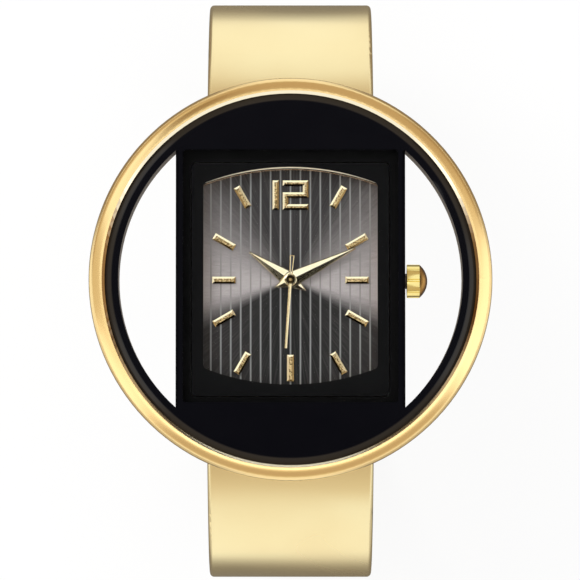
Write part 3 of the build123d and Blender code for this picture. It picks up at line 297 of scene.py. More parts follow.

# Case frame: black enamelled plate and column, pressed into the ring. The crown's tube stands in
# its right-hand side. The baked enamel is glossy, with a faint orange peel, and is painted a shade
# paler on the rim beside the ring, as a painted reflection.
RIM_RADIUS = 0.01865
RIM_BLUR = 0.00005
RIM_PAINTED_SHEEN = (0.022, 0.018, 0.014)
pebble, given, made = effect(
    "pebble",
    [
        ("Color", COLOR),
        ("Pale Color", COLOR),
        ("Roughness", VALUE),
        ("Grain", VALUE),
        ("Depth", VALUE),
    ],
    [("Color", COLOR), ("Roughness", VALUE), ("Normal", VECTOR)],
)
grains = noise(pebble, own_place(pebble), given["Grain"], 4.0)
feed(pebble, made["Color"], mix(pebble, grains, given["Color"], given["Pale Color"]))
matt = work(pebble, "MULTIPLY_ADD", grains, 0.4, 0.8)
feed(pebble, made["Roughness"], work(pebble, "MULTIPLY", matt, given["Roughness"]))
feed(pebble, made["Normal"], bump(pebble, grains, 1.0, given["Depth"]))


def grained(name, color, pale, roughness, grain, depth, gloss=0.5):
    """Plastic, rubber, lacquer or enamel with a fine grain."""
    material, tree, shader = new_material(name)
    shader.inputs["Specular IOR Level"].default_value = gloss
    values = {
        "Color": color,
        "Pale Color": pale,
        "Roughness": roughness,
        "Grain": grain,
        "Depth": depth,
    }
    wire(tree, pebble, shader, values)
    return material


def from_middle(tree):
    """Distance of a point from the dial's upright axis."""
    return vector_work(tree, "LENGTH", flattened(tree, own_place(tree)))


black_enamel = grained(
    "black_enamel",
    (0.0025, 0.0025, 0.004),
    (0.0035, 0.0035, 0.005),
    roughness=0.1,
    grain=300.0,
    depth=0.000003,
    gloss=0.22,
)
tree, shader = insides(black_enamel)
# Painted reflection: the rim beside the ring is painted a shade paler.
on_rim = ramp(tree, from_middle(tree), RIM_RADIUS - RIM_BLUR, RIM_RADIUS + RIM_BLUR)
rim_sheen = mix(tree, on_rim, fed_by(shader, "Base Color"), RIM_PAINTED_SHEEN)
feed(tree, shader.inputs["Base Color"], rim_sheen)
dress(black_enamel, "case_frame")
dark_steel = polished(
    "dark_steel", (0.16, 0.14, 0.12), (0.08, 0.07, 0.06), roughness=0.3, patch=500.0
)
dress(dark_steel, "case_tube")

# Gaskets and plastics: three black rubber gaskets seal the glass, the crown and the back. The
# movement's holder and its main plate are moulded, the one white and the other dark grey.
black_rubber = grained(
    "black_rubber",
    (0.003, 0.003, 0.003),
    (0.006, 0.006, 0.006),
    roughness=0.7,
    grain=2500.0,
    depth=0.00001,
    gloss=0.1,
)
dress(black_rubber, "crystal_gasket", "crown_gasket", "back_gasket")
white_plastic = grained(
    "white_plastic",
    (0.8, 0.79, 0.75),
    (0.86, 0.85, 0.82),
    roughness=0.45,
    grain=1500.0,
    depth=0.00001,
)
dress(white_plastic, "movement_holder")
plate_plastic = grained(
    "plate_plastic",
    (0.05, 0.05, 0.055),
    (0.08, 0.08, 0.085),
    roughness=0.4,
    grain=1500.0,
    depth=0.00001,
)
dress(plate_plastic, "main_plate")

# Movement: the main plate carries the gear train, the stepping motor and the cell. Wheels are
# stamped brass on steel arbors, and a steel bridge held by two screws closes the train.
ALONG_X = (600, 9000, 9000)
ALONG_Y = (9000, 600, 9000)
ALONG_Z = (9000, 9000, 900)
COIL_TURNS = (16000, 300, 300)
graining, given, made = effect(
    "graining",
    [("Color", COLOR), ("Deep Color", COLOR), ("Roughness", VALUE), ("Stretch", VECTOR)],
    [("Color", COLOR), ("Roughness", VALUE), ("Normal", VECTOR)],
)


def stretched(tree, factors):
    """Place on the object, with each axis multiplied by its own factor."""
    return vector_work(tree, "MULTIPLY", own_place(tree), factors)


strokes = noise(graining, stretched(graining, given["Stretch"]), 1.0, 4.0)
feed(graining, made["Color"], mix(graining, strokes, given["Color"], given["Deep Color"]))
matt = work(graining, "MULTIPLY_ADD", strokes, 0.6, 0.7)
feed(graining, made["Roughness"], work(graining, "MULTIPLY", matt, given["Roughness"]))
feed(graining, made["Normal"], bump(graining, strokes, 0.25, 0.00002))


def brushed(name, color, deep, roughness, stretch):
    """Metal brushed along the axis in which the stretch is least."""
    material, tree, shader = new_material(name)
    shader.inputs["Metallic"].default_value = 1.0
    values = {"Color": color, "Deep Color": deep, "Roughness": roughness, "Stretch": stretch}
    wire(tree, graining, shader, values)
    return material


wheel_brass = brushed(
    "wheel_brass", (0.85, 0.62, 0.28), (0.7, 0.48, 0.2), roughness=0.28, stretch=ALONG_Y
)
dress(wheel_brass, "center_wheel", "third_wheel", "fourth_wheel", "fifth_wheel")
dress(wheel_brass, "minute_wheel", "hour_wheel", "dial_washer")
turned_steel = brushed(
    "turned_steel", (0.62, 0.62, 0.63), (0.5, 0.5, 0.51), roughness=0.25, stretch=ALONG_Z
)
dress(turned_steel, "rotor", "cannon_pinion", "setting_wheel", "clutch", "stem")
dress(turned_steel, "setting_lever", "train_bridge", "bridge_screws", "battery_clamp", "back_screws")
soft_iron = brushed(
    "soft_iron", (0.42, 0.42, 0.42), (0.33, 0.33, 0.33), roughness=0.35, stretch=ALONG_X
)
dress(soft_iron, "stator", "coil_core")
copper_wire = brushed(
    "copper_wire", (0.75, 0.33, 0.14), (0.4, 0.14, 0.05), roughness=0.3, stretch=COIL_TURNS
)
dress(copper_wire, "coil")
board_green = grained(
    "board_green",
    (0.02, 0.12, 0.05),
    (0.03, 0.18, 0.07),
    roughness=0.3,
    grain=3000.0,
    depth=0.00001,
)
dress(board_green, "circuit_board")
can_metal = polished("can_metal", (0.75, 0.75, 0.76), (0.6, 0.6, 0.62), roughness=0.2, patch=700.0)
dress(can_metal, "quartz_crystal")
cell_steel = polished(
    "cell_steel", (0.78, 0.77, 0.75), (0.65, 0.64, 0.63), roughness=0.18, patch=500.0
)
dress(cell_steel, "battery")

# Dial: a brass plate, sunray brushed in dark grey under thin lacquer, with pale pin stripes.
# Two wedges of painted highlight, to three and to nine o'clock, stand for the light the brushing
# catches, and the lower half is painted darker as painted shade.
STRIPE_PITCH = 0.00104
STRIPE_WIDTH = 0.00015
STRIPE_CORE = 0.6
STRIPE_FADE = 1.5
STRIPE_PALE = (0.25, 0.255, 0.25)
STRIPE_PAINTED_HIGHLIGHT = (0.27, 0.25, 0.245)
WEDGE_LOW = (math.radians(-32), math.radians(-9))
WEDGE_HIGH = (math.radians(-8), math.radians(72))
RAYS_ROUND = 60.0
RAYS_ALONG = 300.0
RAY_WEIGHT = 0.25
RAY_SHIFT = -0.12
BRUSHING_STRETCH = (900, 9000, 900)
BRUSHING_WEIGHT = 0.35
UPPER_HALF = (-0.002, 0.003)
OUTER_PART = (0.001, 0.009)
LOWER_MIDDLE_PAINTED_SHADE = (0.013, 0.013, 0.013)
LOWER_OUTER_PAINTED_SHADE = (0.034, 0.031, 0.03)
UPPER_GREY = (0.036, 0.034, 0.034)
PAINTED_HIGHLIGHT_GREY = (0.5, 0.46, 0.455)
BRUSHED_GREY = (0.02, 0.019, 0.02)
dial_grey, tree, shader = new_material("dial_grey")
axes = axes_of(tree, own_place(tree))
aside = work(tree, "ABSOLUTE", axes["X"])
bearing = work(tree, "ARCTAN2", axes["Y"], aside)
# Painted highlight: a lighter wedge to each side, streaked with rays. Painted shade: the lower half
# is darker, darkest in its middle.
rise = ramp(tree, bearing, *WEDGE_LOW, smooth="SMOOTHSTEP")
fall = ramp(tree, bearing, *WEDGE_HIGH, 1.0, 0.0, "SMOOTHSTEP")
highlight_wedge = work(tree, "MULTIPLY", rise, fall)
fan = {
    "X": work(tree, "MULTIPLY", bearing, RAYS_ROUND),
    "Y": work(tree, "MULTIPLY", axes["X"], RAYS_ALONG),
}
rays = noise(tree, add(tree, "ShaderNodeCombineXYZ", fan).outputs[0], 1.0)
brushing = noise(tree, stretched(tree, BRUSHING_STRETCH), 1.0, 3.0)
painted_highlight = work(tree, "ADD", highlight_wedge, work(tree, "MULTIPLY_ADD", rays, RAY_WEIGHT, RAY_SHIFT))
upper = ramp(tree, axes["Y"], *UPPER_HALF, smooth="SMOOTHSTEP")
lower_painted_shade = mix(tree, ramp(tree, aside, *OUTER_PART), LOWER_MIDDLE_PAINTED_SHADE, LOWER_OUTER_PAINTED_SHADE)
field = mix(tree, painted_highlight, mix(tree, upper, lower_painted_shade, UPPER_GREY), PAINTED_HIGHLIGHT_GREY)
field = mix(tree, work(tree, "MULTIPLY", brushing, BRUSHING_WEIGHT), field, BRUSHED_GREY)
step = work(tree, "DIVIDE", axes["X"], STRIPE_PITCH)
away = work(tree, "ABSOLUTE", work(tree, "SUBTRACT", step, work(tree, "ROUND", step)))
half_share = STRIPE_WIDTH / STRIPE_PITCH / 2
stripe = ramp(tree, away, half_share * STRIPE_CORE, half_share * STRIPE_FADE, 1.0, 0.0)
paint = mix(tree, highlight_wedge, STRIPE_PALE, STRIPE_PAINTED_HIGHLIGHT)
feed(tree, shader.inputs["Base Color"], mix(tree, stripe, field, paint))
relief = work(tree, "ADD", brushing, stripe)
feed(tree, shader.inputs["Normal"], bump(tree, relief, 0.3, 0.00001))
shader.inputs["Metallic"].default_value = 0.2
shader.inputs["Specular IOR Level"].default_value = 0.2
shader.inputs["Roughness"].default_value = 0.45
dress(dial_grey, "dial")

# Hour bars and numeral: gold plated brass riveted to the dial. Their flat tops are pebbled with a
# fine punch. The bevels round them are cut glossy, painted bright to the upper left as a painted
# highlight and dark brown elsewhere as painted shade.
FLAT_TOP = (0.996, 0.999)
LIGHT_SIDE = (-0.4, 0.9, 0)
LIGHT_LEAN = (-0.01, 0.05)
BEVEL_PAINTED_SHADE = (0.26, 0.17, 0.07)
BEVEL_PAINTED_HIGHLIGHT = (1.0, 0.9, 0.62)
CUT_ROUGHNESS = 0.08
PIT_SCALE = 7000.0
PIT_SHARE = (0.4, 0.6)
PIT_DEPTH = 0.00003
PUNCHED_GOLD = (0.85, 0.66, 0.35)
PUNCHED_DARK = (0.13, 0.08, 0.025)
PUNCHED_ROUGHNESS = 0.5
applied_gold, tree, shader = new_material("applied_gold")
normal = true_normal(tree)
top = ramp(tree, axes_of(tree, normal)["Z"], *FLAT_TOP)
# Painted highlight on bevels facing the upper left, painted shade on the others.
bevel_highlight_share = ramp(tree, vector_work(tree, "DOT_PRODUCT", normal, LIGHT_SIDE), *LIGHT_LEAN)
bevel_painted_light = mix(tree, bevel_highlight_share, BEVEL_PAINTED_SHADE, BEVEL_PAINTED_HIGHLIGHT)
pits = noise(tree, own_place(tree), PIT_SCALE, 3.0)
punched = mix(tree, ramp(tree, pits, *PIT_SHARE), PUNCHED_GOLD, PUNCHED_DARK)
gloss = ramp(tree, top, 0.0, 1.0, CUT_ROUGHNESS, PUNCHED_ROUGHNESS)
feed(tree, shader.inputs["Base Color"], mix(tree, top, bevel_painted_light, punched))
feed(tree, shader.inputs["Roughness"], gloss)
feed(tree, shader.inputs["Normal"], bump(tree, work(tree, "MULTIPLY", pits, top), 0.8, PIT_DEPTH))
shader.inputs["Metallic"].default_value = 1.0
dress(applied_gold, "hour_markers", "numeral_12")

# Flange: gold plated ring with a stepped edge, which stands round the dial under the mask. All
# along the arch of the window, its step is painted with a pale, less metallic lip as a painted
# highlight and a dark band as painted shade, beside its copper edge.
FLANGE_APEX = 0.01145
FLANGE_ARCH = 0.0017
FLANGE_HALF_WIDTH = 0.0093
SHADE_START = 0.00007
SHADE_END = 0.00016
EDGE_BLUR = 0.00002
STEP_PAINTED_SHADE = (0.02, 0.012, 0.01)
LIP_PAINTED_HIGHLIGHT = (1.0, 0.92, 0.75)
LIP_METALLIC = 0.3
FLANGE_ROUGHNESS = 0.2
LIP_ADDED_ROUGHNESS = 0.45
flange_gold = polished(
    "flange_gold", (0.92, 0.7, 0.5), (0.6, 0.4, 0.24), roughness=FLANGE_ROUGHNESS, patch=1500.0
)
tree, shader = insides(flange_gold)
axes = axes_of(tree, own_place(tree))
across = work(tree, "DIVIDE", axes["X"], FLANGE_HALF_WIDTH)
drop = work(tree, "MULTIPLY", work(tree, "MULTIPLY", across, across), FLANGE_ARCH)
ledge = work(tree, "SUBTRACT", work(tree, "ADD", axes["Y"], drop), FLANGE_APEX)
# Painted shade in a dark band along the arch, and a painted highlight on the lip past it.
in_shade_band = ramp(tree, ledge, SHADE_START, SHADE_START + EDGE_BLUR)
on_lip = ramp(tree, ledge, SHADE_END, SHADE_END + EDGE_BLUR)
shade_banded = mix(tree, in_shade_band, fed_by(shader, "Base Color"), STEP_PAINTED_SHADE)
feed(tree, shader.inputs["Base Color"], mix(tree, on_lip, shade_banded, LIP_PAINTED_HIGHLIGHT))
lip_shine = work(tree, "MULTIPLY_ADD", on_lip, LIP_ADDED_ROUGHNESS, FLANGE_ROUGHNESS)
feed(tree, shader.inputs["Roughness"], lip_shine)
feed(tree, shader.inputs["Metallic"], ramp(tree, on_lip, 0.0, 1.0, 1.0, LIP_METALLIC))
dress(flange_gold, "dial_flange")

# Hour and minute hands: pressed from gold plated brass. Each has a ridge from tip to tail, two
# bright facets, a narrow bevel round the edge, and a round boss that grips its pipe.
HAND_EDGE = 0.00004
HAND_RIM = 0.0001
HAND_RIM_RISE = 0.00008
HAND_RIDGE_RISE = 0.00009
BOSS_HEIGHT = 0.00024
BOSS_BEVEL = 0.00006
TIP_HALF = 0.0001
FACET_SMOOTHING = 4
HOUR_BEARING = 304.2
MINUTE_BEARING = 63.9
hand_gold = polished("hand_gold", (1.0, 0.91, 0.66), (0.97, 0.84, 0.55), roughness=0.07, patch=500.0)


def pick(piece, test):
    """Select only the corners of a piece in edit mode whose place passes a test."""
    mesh = bmesh.from_edit_mesh(piece.data)
    for corner in mesh.verts:
        corner.select = test(corner.co)
    mesh.select_flush_mode()
    bmesh.update_edit_mesh(piece.data)


def combine(piece, tool, operation):
    """Add a closed shape to a piece, or cut it away."""
    choose(piece)
    joint = piece.modifiers.new(operation.lower(), "BOOLEAN")
    joint.operation = operation
    joint.object = tool
    joint.solver = "EXACT"
    bpy.ops.object.modifier_apply(modifier=joint.name)
    bpy.data.objects.remove(tool)


def pillar(radius, low, high, bevel=0.0):
    """Upright round pillar on the middle of the dial, with a bevel round its top."""
    bpy.ops.mesh.primitive_cylinder_add(
        vertices=48, radius=radius, depth=high - low, location=(0, 0, (low + high) / 2)
    )
    post = bpy.context.object
    if bevel:
        bpy.ops.object.mode_set(mode="EDIT")
        pick(post, lambda corner: corner.z > 0)
        bpy.ops.mesh.bevel(offset=bevel, segments=2)
        bpy.ops.object.mode_set(mode="OBJECT")
    return post


def close_up(piece):
    """Turn all faces of a piece in edit mode outwards, and leave edit mode."""
    bpy.ops.mesh.select_all(action="SELECT")
    bpy.ops.mesh.normals_make_consistent(inside=False)
    bpy.ops.object.mode_set(mode="OBJECT")


def settle(piece, name, bearing, material, body, node):
    """Turn a hand to its bearing, and put it on its body in place of its node."""
    choose(piece)
    bpy.ops.object.transform_apply(location=True, rotation=False, scale=False)
    piece.rotation_euler.z = -math.radians(bearing)
    bpy.ops.object.transform_apply(location=False, rotation=True, scale=False)
    bpy.ops.object.shade_smooth_by_angle(angle=math.radians(FACET_SMOOTHING))
    piece.name = name
    piece.data.materials.clear()
    piece.data.materials.append(material)
    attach(piece, body)
    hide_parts(node)


def faceted_hand(node, length, tail, half_width, pipe, boss):
    """Kite-shaped hand on the middle of the dial, pointing to twelve."""
    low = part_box(node)[0].z
    bpy.ops.mesh.primitive_circle_add(
        vertices=4, radius=half_width, fill_type="NGON", location=(0, 0, low)
    )
    hand = bpy.context.object
    bpy.ops.object.mode_set(mode="EDIT")
    pick(hand, lambda corner: corner.y > half_width / 2)
    bpy.ops.transform.translate(value=(0, length - half_width, 0))
    blunting = TIP_HALF * length / half_width
    bpy.ops.mesh.bevel(offset=math.hypot(TIP_HALF, blunting), affect="VERTICES")
    pick(hand, lambda corner: corner.y > half_width / 2)
    bpy.ops.transform.translate(value=(0, blunting, 0))
    pick(hand, lambda corner: corner.y < -half_width / 2)
    bpy.ops.transform.translate(value=(0, half_width - tail, 0))
    bpy.ops.mesh.select_all(action="SELECT")
    bpy.ops.mesh.extrude_region_move(TRANSFORM_OT_translate={"value": (0, 0, HAND_EDGE)})
    bpy.ops.mesh.inset(thickness=HAND_RIM, depth=HAND_RIM_RISE)

    # The ridge joins what the inset has left of the tip and the tail, close to the middle line
    on_top = HAND_EDGE + HAND_RIM_RISE / 2
    pick(hand, lambda corner: corner.z > on_top and abs(corner.x) < half_width / 9)
    bpy.ops.transform.translate(value=(0, 0, HAND_RIDGE_RISE))
    bpy.ops.mesh.vert_connect()
    close_up(hand)
    combine(hand, pillar(boss, low, low + BOSS_HEIGHT, BOSS_BEVEL), "UNION")
    combine(hand, pillar(pipe, low - HAND_RIM, low + 2 * BOSS_HEIGHT), "DIFFERENCE")
    return hand


hour_hand = faceted_hand(
    "hour_hand", length=0.0052, tail=0.002, half_width=0.00088, pipe=0.00056, boss=0.0007
)
settle(hour_hand, "hour_hand_faceted", HOUR_BEARING, hand_gold, "hour", "hour_hand")
minute_hand = faceted_hand(
    "minute_hand", length=0.00755, tail=0.00187, half_width=0.00086, pipe=0.00033, boss=0.00064
)
settle(minute_hand, "minute_hand_faceted", MINUTE_BEARING, hand_gold, "minute", "minute_hand")

# Seconds hand: a thin ridged needle, with an open looped tail to balance it. Its hub is pressed
# on the arbor, under a small turned cap. Both are painted dark as painted shade, all but a ring at
# the cap's crest, which keeps its gold.
NEEDLE_LENGTH = 0.00718
NEEDLE_ROOT = 0.00015
NEEDLE_TIP = 0.00012
NEEDLE_THICKNESS = 0.0001
NEEDLE_RIDGE = 0.00004
TAIL_LENGTH = 0.00255
TAIL_END = 0.00024
TAIL_ROOT = 0.00014
TAIL_WIRE = 0.0001
TAIL_SIDE = 0.00007
TAIL_RIDGE = 0.00003
HUB_RADIUS = 0.0005
HUB_BEVEL = 0.00002
CAP_RADIUS = 0.00028
CAP_RISE = 0.00016
CAP_BEVEL = 0.00008
CAP_CREST = 0.00019
CAP_HOLE = 0.00005
CREST_BLUR = 0.00004
HUB_PAINTED_SHADE = (0.11, 0.08, 0.035)
ARBOR_RADIUS = 0.00013
SECONDS_BEARING = 183.9
needle_gold = polished(
    "needle_gold", (0.78, 0.68, 0.44), (0.68, 0.57, 0.34), roughness=0.12, patch=500.0
)
tree, shader = insides(needle_gold)
radius = from_middle(tree)
# Painted shade over the hub and the cap, all but the cap's crest.
past_crest = ramp(tree, radius, CAP_CREST - CREST_BLUR, CAP_CREST)
in_hole = ramp(tree, radius, CAP_HOLE, CAP_HOLE + CREST_BLUR, 1.0, 0.0)
in_hub = ramp(tree, radius, HUB_RADIUS - 2 * CREST_BLUR, HUB_RADIUS - CREST_BLUR, 1.0, 0.0)
hub_shade_share = work(tree, "MULTIPLY", work(tree, "MAXIMUM", past_crest, in_hole), in_hub)
hub_painted_shade = mix(tree, hub_shade_share, fed_by(shader, "Base Color"), HUB_PAINTED_SHADE)
feed(tree, shader.inputs["Base Color"], hub_painted_shade)


def tapered_strip(near, far, near_half, far_half, low):
    """Flat strip along Y whose width changes from one end to the other, in edit mode."""
    middle = (near + far) / 2
    bpy.ops.mesh.primitive_plane_add(size=1.0, location=(0, middle, low))
    strip = bpy.context.object
    strip.scale = (2 * near_half, abs(far - near), 1)
    bpy.ops.object.transform_apply(location=False, rotation=False, scale=True)
    outward = 1 if far > near else -1
    bpy.ops.object.mode_set(mode="EDIT")
    pick(strip, lambda corner: corner.y * outward > 0)
    bpy.ops.transform.resize(value=(far_half / near_half, 1, 1))
    bpy.ops.mesh.select_all(action="SELECT")
    return strip


def on_wire_middle(corner):
    """Whether a corner lies on the crest of the tail's wire, half a wire in from its outline."""
    reach = TAIL_LENGTH - HUB_RADIUS / 2
    share = 0.5 - corner.y / reach
    half_width = TAIL_ROOT + (TAIL_END - TAIL_ROOT) * share
    on_end = TAIL_WIRE / 4 < reach / 2 - abs(corner.y) < TAIL_WIRE * 3 / 4
    on_side = TAIL_WIRE / 4 < half_width - abs(corner.x) < TAIL_WIRE * 3 / 4
    return corner.z > TAIL_SIDE / 2 and on_end and on_side


seconds_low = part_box("seconds_hand")[0].z
needle_top = seconds_low + NEEDLE_THICKNESS
needle = tapered_strip(0, NEEDLE_LENGTH, NEEDLE_ROOT, NEEDLE_TIP, seconds_low)
bpy.ops.mesh.extrude_region_move(TRANSFORM_OT_translate={"value": (0, 0, NEEDLE_THICKNESS)})
pick(needle, lambda corner: corner.z > NEEDLE_THICKNESS / 2)
bpy.ops.mesh.subdivide(number_cuts=1)
pick(needle, lambda corner: corner.z > NEEDLE_THICKNESS / 2 and abs(corner.x) < NEEDLE_TIP / 2)
bpy.ops.transform.translate(value=(0, 0, NEEDLE_RIDGE))
close_up(needle)
tail = tapered_strip(-HUB_RADIUS / 2, -TAIL_LENGTH, TAIL_ROOT, TAIL_END, seconds_low)
bpy.ops.mesh.inset(thickness=TAIL_WIRE / 2, depth=0)
bpy.ops.mesh.inset(thickness=TAIL_WIRE / 2, depth=0)
bpy.ops.mesh.delete(type="FACE")
bpy.ops.mesh.select_all(action="SELECT")
bpy.ops.mesh.extrude_region_move(TRANSFORM_OT_translate={"value": (0, 0, TAIL_SIDE)})
pick(tail, on_wire_middle)
bpy.ops.transform.translate(value=(0, 0, TAIL_RIDGE))
close_up(tail)
combine(needle, tail, "UNION")
combine(needle, pillar(HUB_RADIUS, seconds_low, needle_top, HUB_BEVEL), "UNION")
combine(needle, pillar(CAP_RADIUS, seconds_low, needle_top + CAP_RISE, CAP_BEVEL), "UNION")
arbor_hole = pillar(ARBOR_RADIUS, seconds_low - CAP_RISE, needle_top + 2 * CAP_RISE)
combine(needle, arbor_hole, "DIFFERENCE")
settle(needle, "seconds_hand_needle", SECONDS_BEARING, needle_gold, "seconds", "seconds_hand")

# Window: flat mineral glass, set flush in the case frame on its gasket. The mask under it is thin
# sheet, printed matt black, with the barrel-shaped opening that shows the dial.
GLASS_TINT = (0.97, 0.98, 0.98)
GLASS_IOR = 1.2
SMEAR_SCALE = 120.0
SMEAR_ROUGHNESS = 0.03
mask_black = grained(
    "mask_black",
    (0.006, 0.006, 0.0062),
    (0.007, 0.007, 0.0074),
    roughness=0.35,
    grain=2000.0,
    depth=0.000002,
    gloss=0.1,
)
dress(mask_black, "window_mask")
window_glass, tree, shader = new_material("window_glass")
smears = noise(tree, own_place(tree), SMEAR_SCALE)
feed(tree, shader.inputs["Roughness"], ramp(tree, smears, 0.0, 1.0, 0.0, SMEAR_ROUGHNESS))
feed(tree, shader.inputs["Base Color"], GLASS_TINT)
shader.inputs["Transmission Weight"].default_value = 1.0
shader.inputs["IOR"].default_value = GLASS_IOR
clear = add(tree, "ShaderNodeBsdfTransparent")
path = add(tree, "ShaderNodeLightPath").outputs
open_ray = work(tree, "MAXIMUM", path["Is Shadow Ray"], path["Is Diffuse Ray"])
screen = add(tree, "ShaderNodeMixShader", {0: open_ray, 1: shader.outputs[0], 2: clear.outputs[0]})
feed(tree, tree.nodes["Material Output"].inputs["Surface"], screen.outputs[0])
dress(window_glass, "crystal")

# Crown: turned brass, fluted all round for the fingers and plated like the ring. It is fixed on
# the stem's end. Its domed face is duller and a deeper gold than the flutes, and is painted dark
# where it turns down, as painted shade.
CROWN_FLUTED_LENGTH = 0.0013
DOME_BLUR = 0.00008
DOME_TURN = (0.3, 0.55)
DOME_PAINTED_SHADE = (0.16, 0.07, 0.02)
DOME_GOLD = (0.62, 0.34, 0.09)
FLUTED_ROUGHNESS = 0.12
DOME_ROUGHNESS = 0.36
crown_gold = polished(
    "crown_gold", (1.0, 0.85, 0.34), (0.96, 0.76, 0.26), roughness=FLUTED_ROUGHNESS, patch=300.0
)
tree, shader = insides(crown_gold)
dome_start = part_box("crown")[0].x + CROWN_FLUTED_LENGTH
on_dome = ramp(tree, axes_of(tree, own_place(tree))["X"], dome_start, dome_start + DOME_BLUR)
# Painted shade where the dome turns down.
upward = ramp(tree, axes_of(tree, true_normal(tree))["Z"], *DOME_TURN)
dome_shaded_gold = mix(tree, upward, DOME_PAINTED_SHADE, DOME_GOLD)
dome_painted_tone = mix(tree, on_dome, fed_by(shader, "Base Color"), dome_shaded_gold)
dome_shine = ramp(tree, on_dome, 0.0, 1.0, FLUTED_ROUGHNESS, DOME_ROUGHNESS)
feed(tree, shader.inputs["Base Color"], dome_painted_tone)
feed(tree, shader.inputs["Roughness"], dome_shine)
dress(crown_gold, "crown")

# Case back: a plate of stainless steel that closes the column from below, brushed from side to
# side. Four slotted screws hold it on its gasket.
BACK_STRETCH = (500, 9000, 9000)
back_steel = brushed(
    "back_steel", (0.66, 0.65, 0.64), (0.54, 0.53, 0.52), roughness=0.3, stretch=BACK_STRETCH
)
dress(back_steel, "case_back")

# Studio floor: a wide white table. What shines mirrors a painted shadow on it close under the
# watch, a painted brown reflection towards the corners, and white elsewhere and further out.
FLOOR_RADIUS = 1.5
FLOOR_WHITE = (0.9, 0.9, 0.9)
FLOOR_SHADE_KEPT = 0.14
SHADOW_NEAR = 0.05
SHADOW_FAR = 0.09
PAINTED_SHADOW = (0.1, 0.075, 0.05)
CORNER_BROWN_NEAR = 0.25
CORNER_BROWN_FAR = 0.5
CORNER_PAINTED_BROWN = (0.16, 0.1, 0.05)
UPPER_CORNERS = (0.12, 0.4)
LOWER_CORNERS = (-0.12, -0.45)
LOWER_CORNERS_SHARE = 0.6
WHITE = (1, 1, 1)
bpy.ops.mesh.primitive_circle_add(vertices=96, radius=FLOOR_RADIUS, fill_type="NGON")
floor = bpy.context.object
floor.name = "studio_floor"
floor_white, tree, shader = new_material("floor_white")
feed(tree, shader.inputs["Base Color"], FLOOR_WHITE)
shader.inputs["Roughness"].default_value = 0.9
path = add(tree, "ShaderNodeLightPath").outputs
place = own_place(tree)
reach = vector_work(tree, "LENGTH", place)
axes = axes_of(tree, place)
# Painted reflection: brown towards the corners; painted shadow: dark close under the watch. Only
# what shines sees them.
corner_share = work(tree, "MULTIPLY", work(tree, "ABSOLUTE", axes["X"]), axes["Y"])
corner_share = work(tree, "DIVIDE", corner_share, work(tree, "MULTIPLY", reach, reach))
upper_corner = ramp(tree, corner_share, *UPPER_CORNERS, smooth="SMOOTHSTEP")
lower_corner = ramp(tree, corner_share, *LOWER_CORNERS, 0.0, LOWER_CORNERS_SHARE, "SMOOTHSTEP")
corner = work(tree, "ADD", upper_corner, lower_corner)
screen = work(tree, "MULTIPLY", corner, ramp(tree, reach, CORNER_BROWN_NEAR, CORNER_BROWN_FAR, 1.0, 0.0))
table = mix(tree, screen, WHITE, CORNER_PAINTED_BROWN)
past_shadow = ramp(tree, reach, SHADOW_NEAR, SHADOW_FAR, smooth="SMOOTHSTEP")
mirrored = mix(tree, past_shadow, PAINTED_SHADOW, table)
glow_color = mix(tree, path["Is Glossy Ray"], WHITE, mirrored)
glow = add(tree, "ShaderNodeEmission", {"Color": glow_color, "Strength": 1.0})
seen = work(tree, "MAXIMUM", path["Is Camera Ray"], path["Is Glossy Ray"])
seen = work(tree, "MAXIMUM", seen, path["Is Transmission Ray"])
share = work(tree, "MULTIPLY", seen, 1.0 - FLOOR_SHADE_KEPT)
blend = add(tree, "ShaderNodeMixShader", {0: share, 1: shader.outputs[0], 2: glow.outputs[0]})
feed(tree, tree.nodes["Material Output"].inputs["Surface"], blend.outputs[0])
floor.data.materials.append(floor_white)

# Studio light: a tan tent with white lamps in it, seen only by what shines. Dull surfaces get an
# even white light, and the floor and the room are white to the camera.
ROOM_WHITE = (0.97, 0.97, 0.97)
LAMP_WHITE = (1.4, 1.4, 1.4)
SOFT_LAMP_WHITE = (1.2, 1.2, 1.2)
OVERHEAD_WHITE = (1.8, 1.8, 1.8)
JUST_UNDER_ONE = 0.9999
world = bpy.data.worlds.new("studio")
bpy.context.scene.world = world
world.use_nodes = True
sky = world.node_tree
ray = add(sky, "ShaderNodeTexCoord").outputs["Generated"]
from_top = work(sky, "ARCCOSINE", axes_of(sky, ray)["Z"])
heading = vector_work(sky, "NORMALIZE", flattened(sky, ray))


def card(bearing, spread, high, low, soft=6.0):
    """Mask of a card on a bearing clockwise from twelve, between two angles from straight up."""
    turn = math.radians(bearing)
    facing = vector_work(sky, "DOT_PRODUCT", heading, (math.sin(turn), math.cos(turn), 0))
    aside = work(sky, "ARCCOSINE", work(sky, "MULTIPLY", facing, JUST_UNDER_ONE))
    near, far = math.radians(spread - soft), math.radians(spread + soft)
    side = ramp(sky, aside, near, far, 1.0, 0.0, "SMOOTHSTEP")
    high_edge, low_edge = math.radians(high), math.radians(low)
    blur = math.radians(soft)
    below = ramp(sky, from_top, high_edge, high_edge + blur, smooth="SMOOTHSTEP")
    above = ramp(sky, from_top, low_edge, low_edge + blur, 1.0, 0.0, "SMOOTHSTEP")
    return work(sky, "MULTIPLY", side, work(sky, "MULTIPLY", below, above))


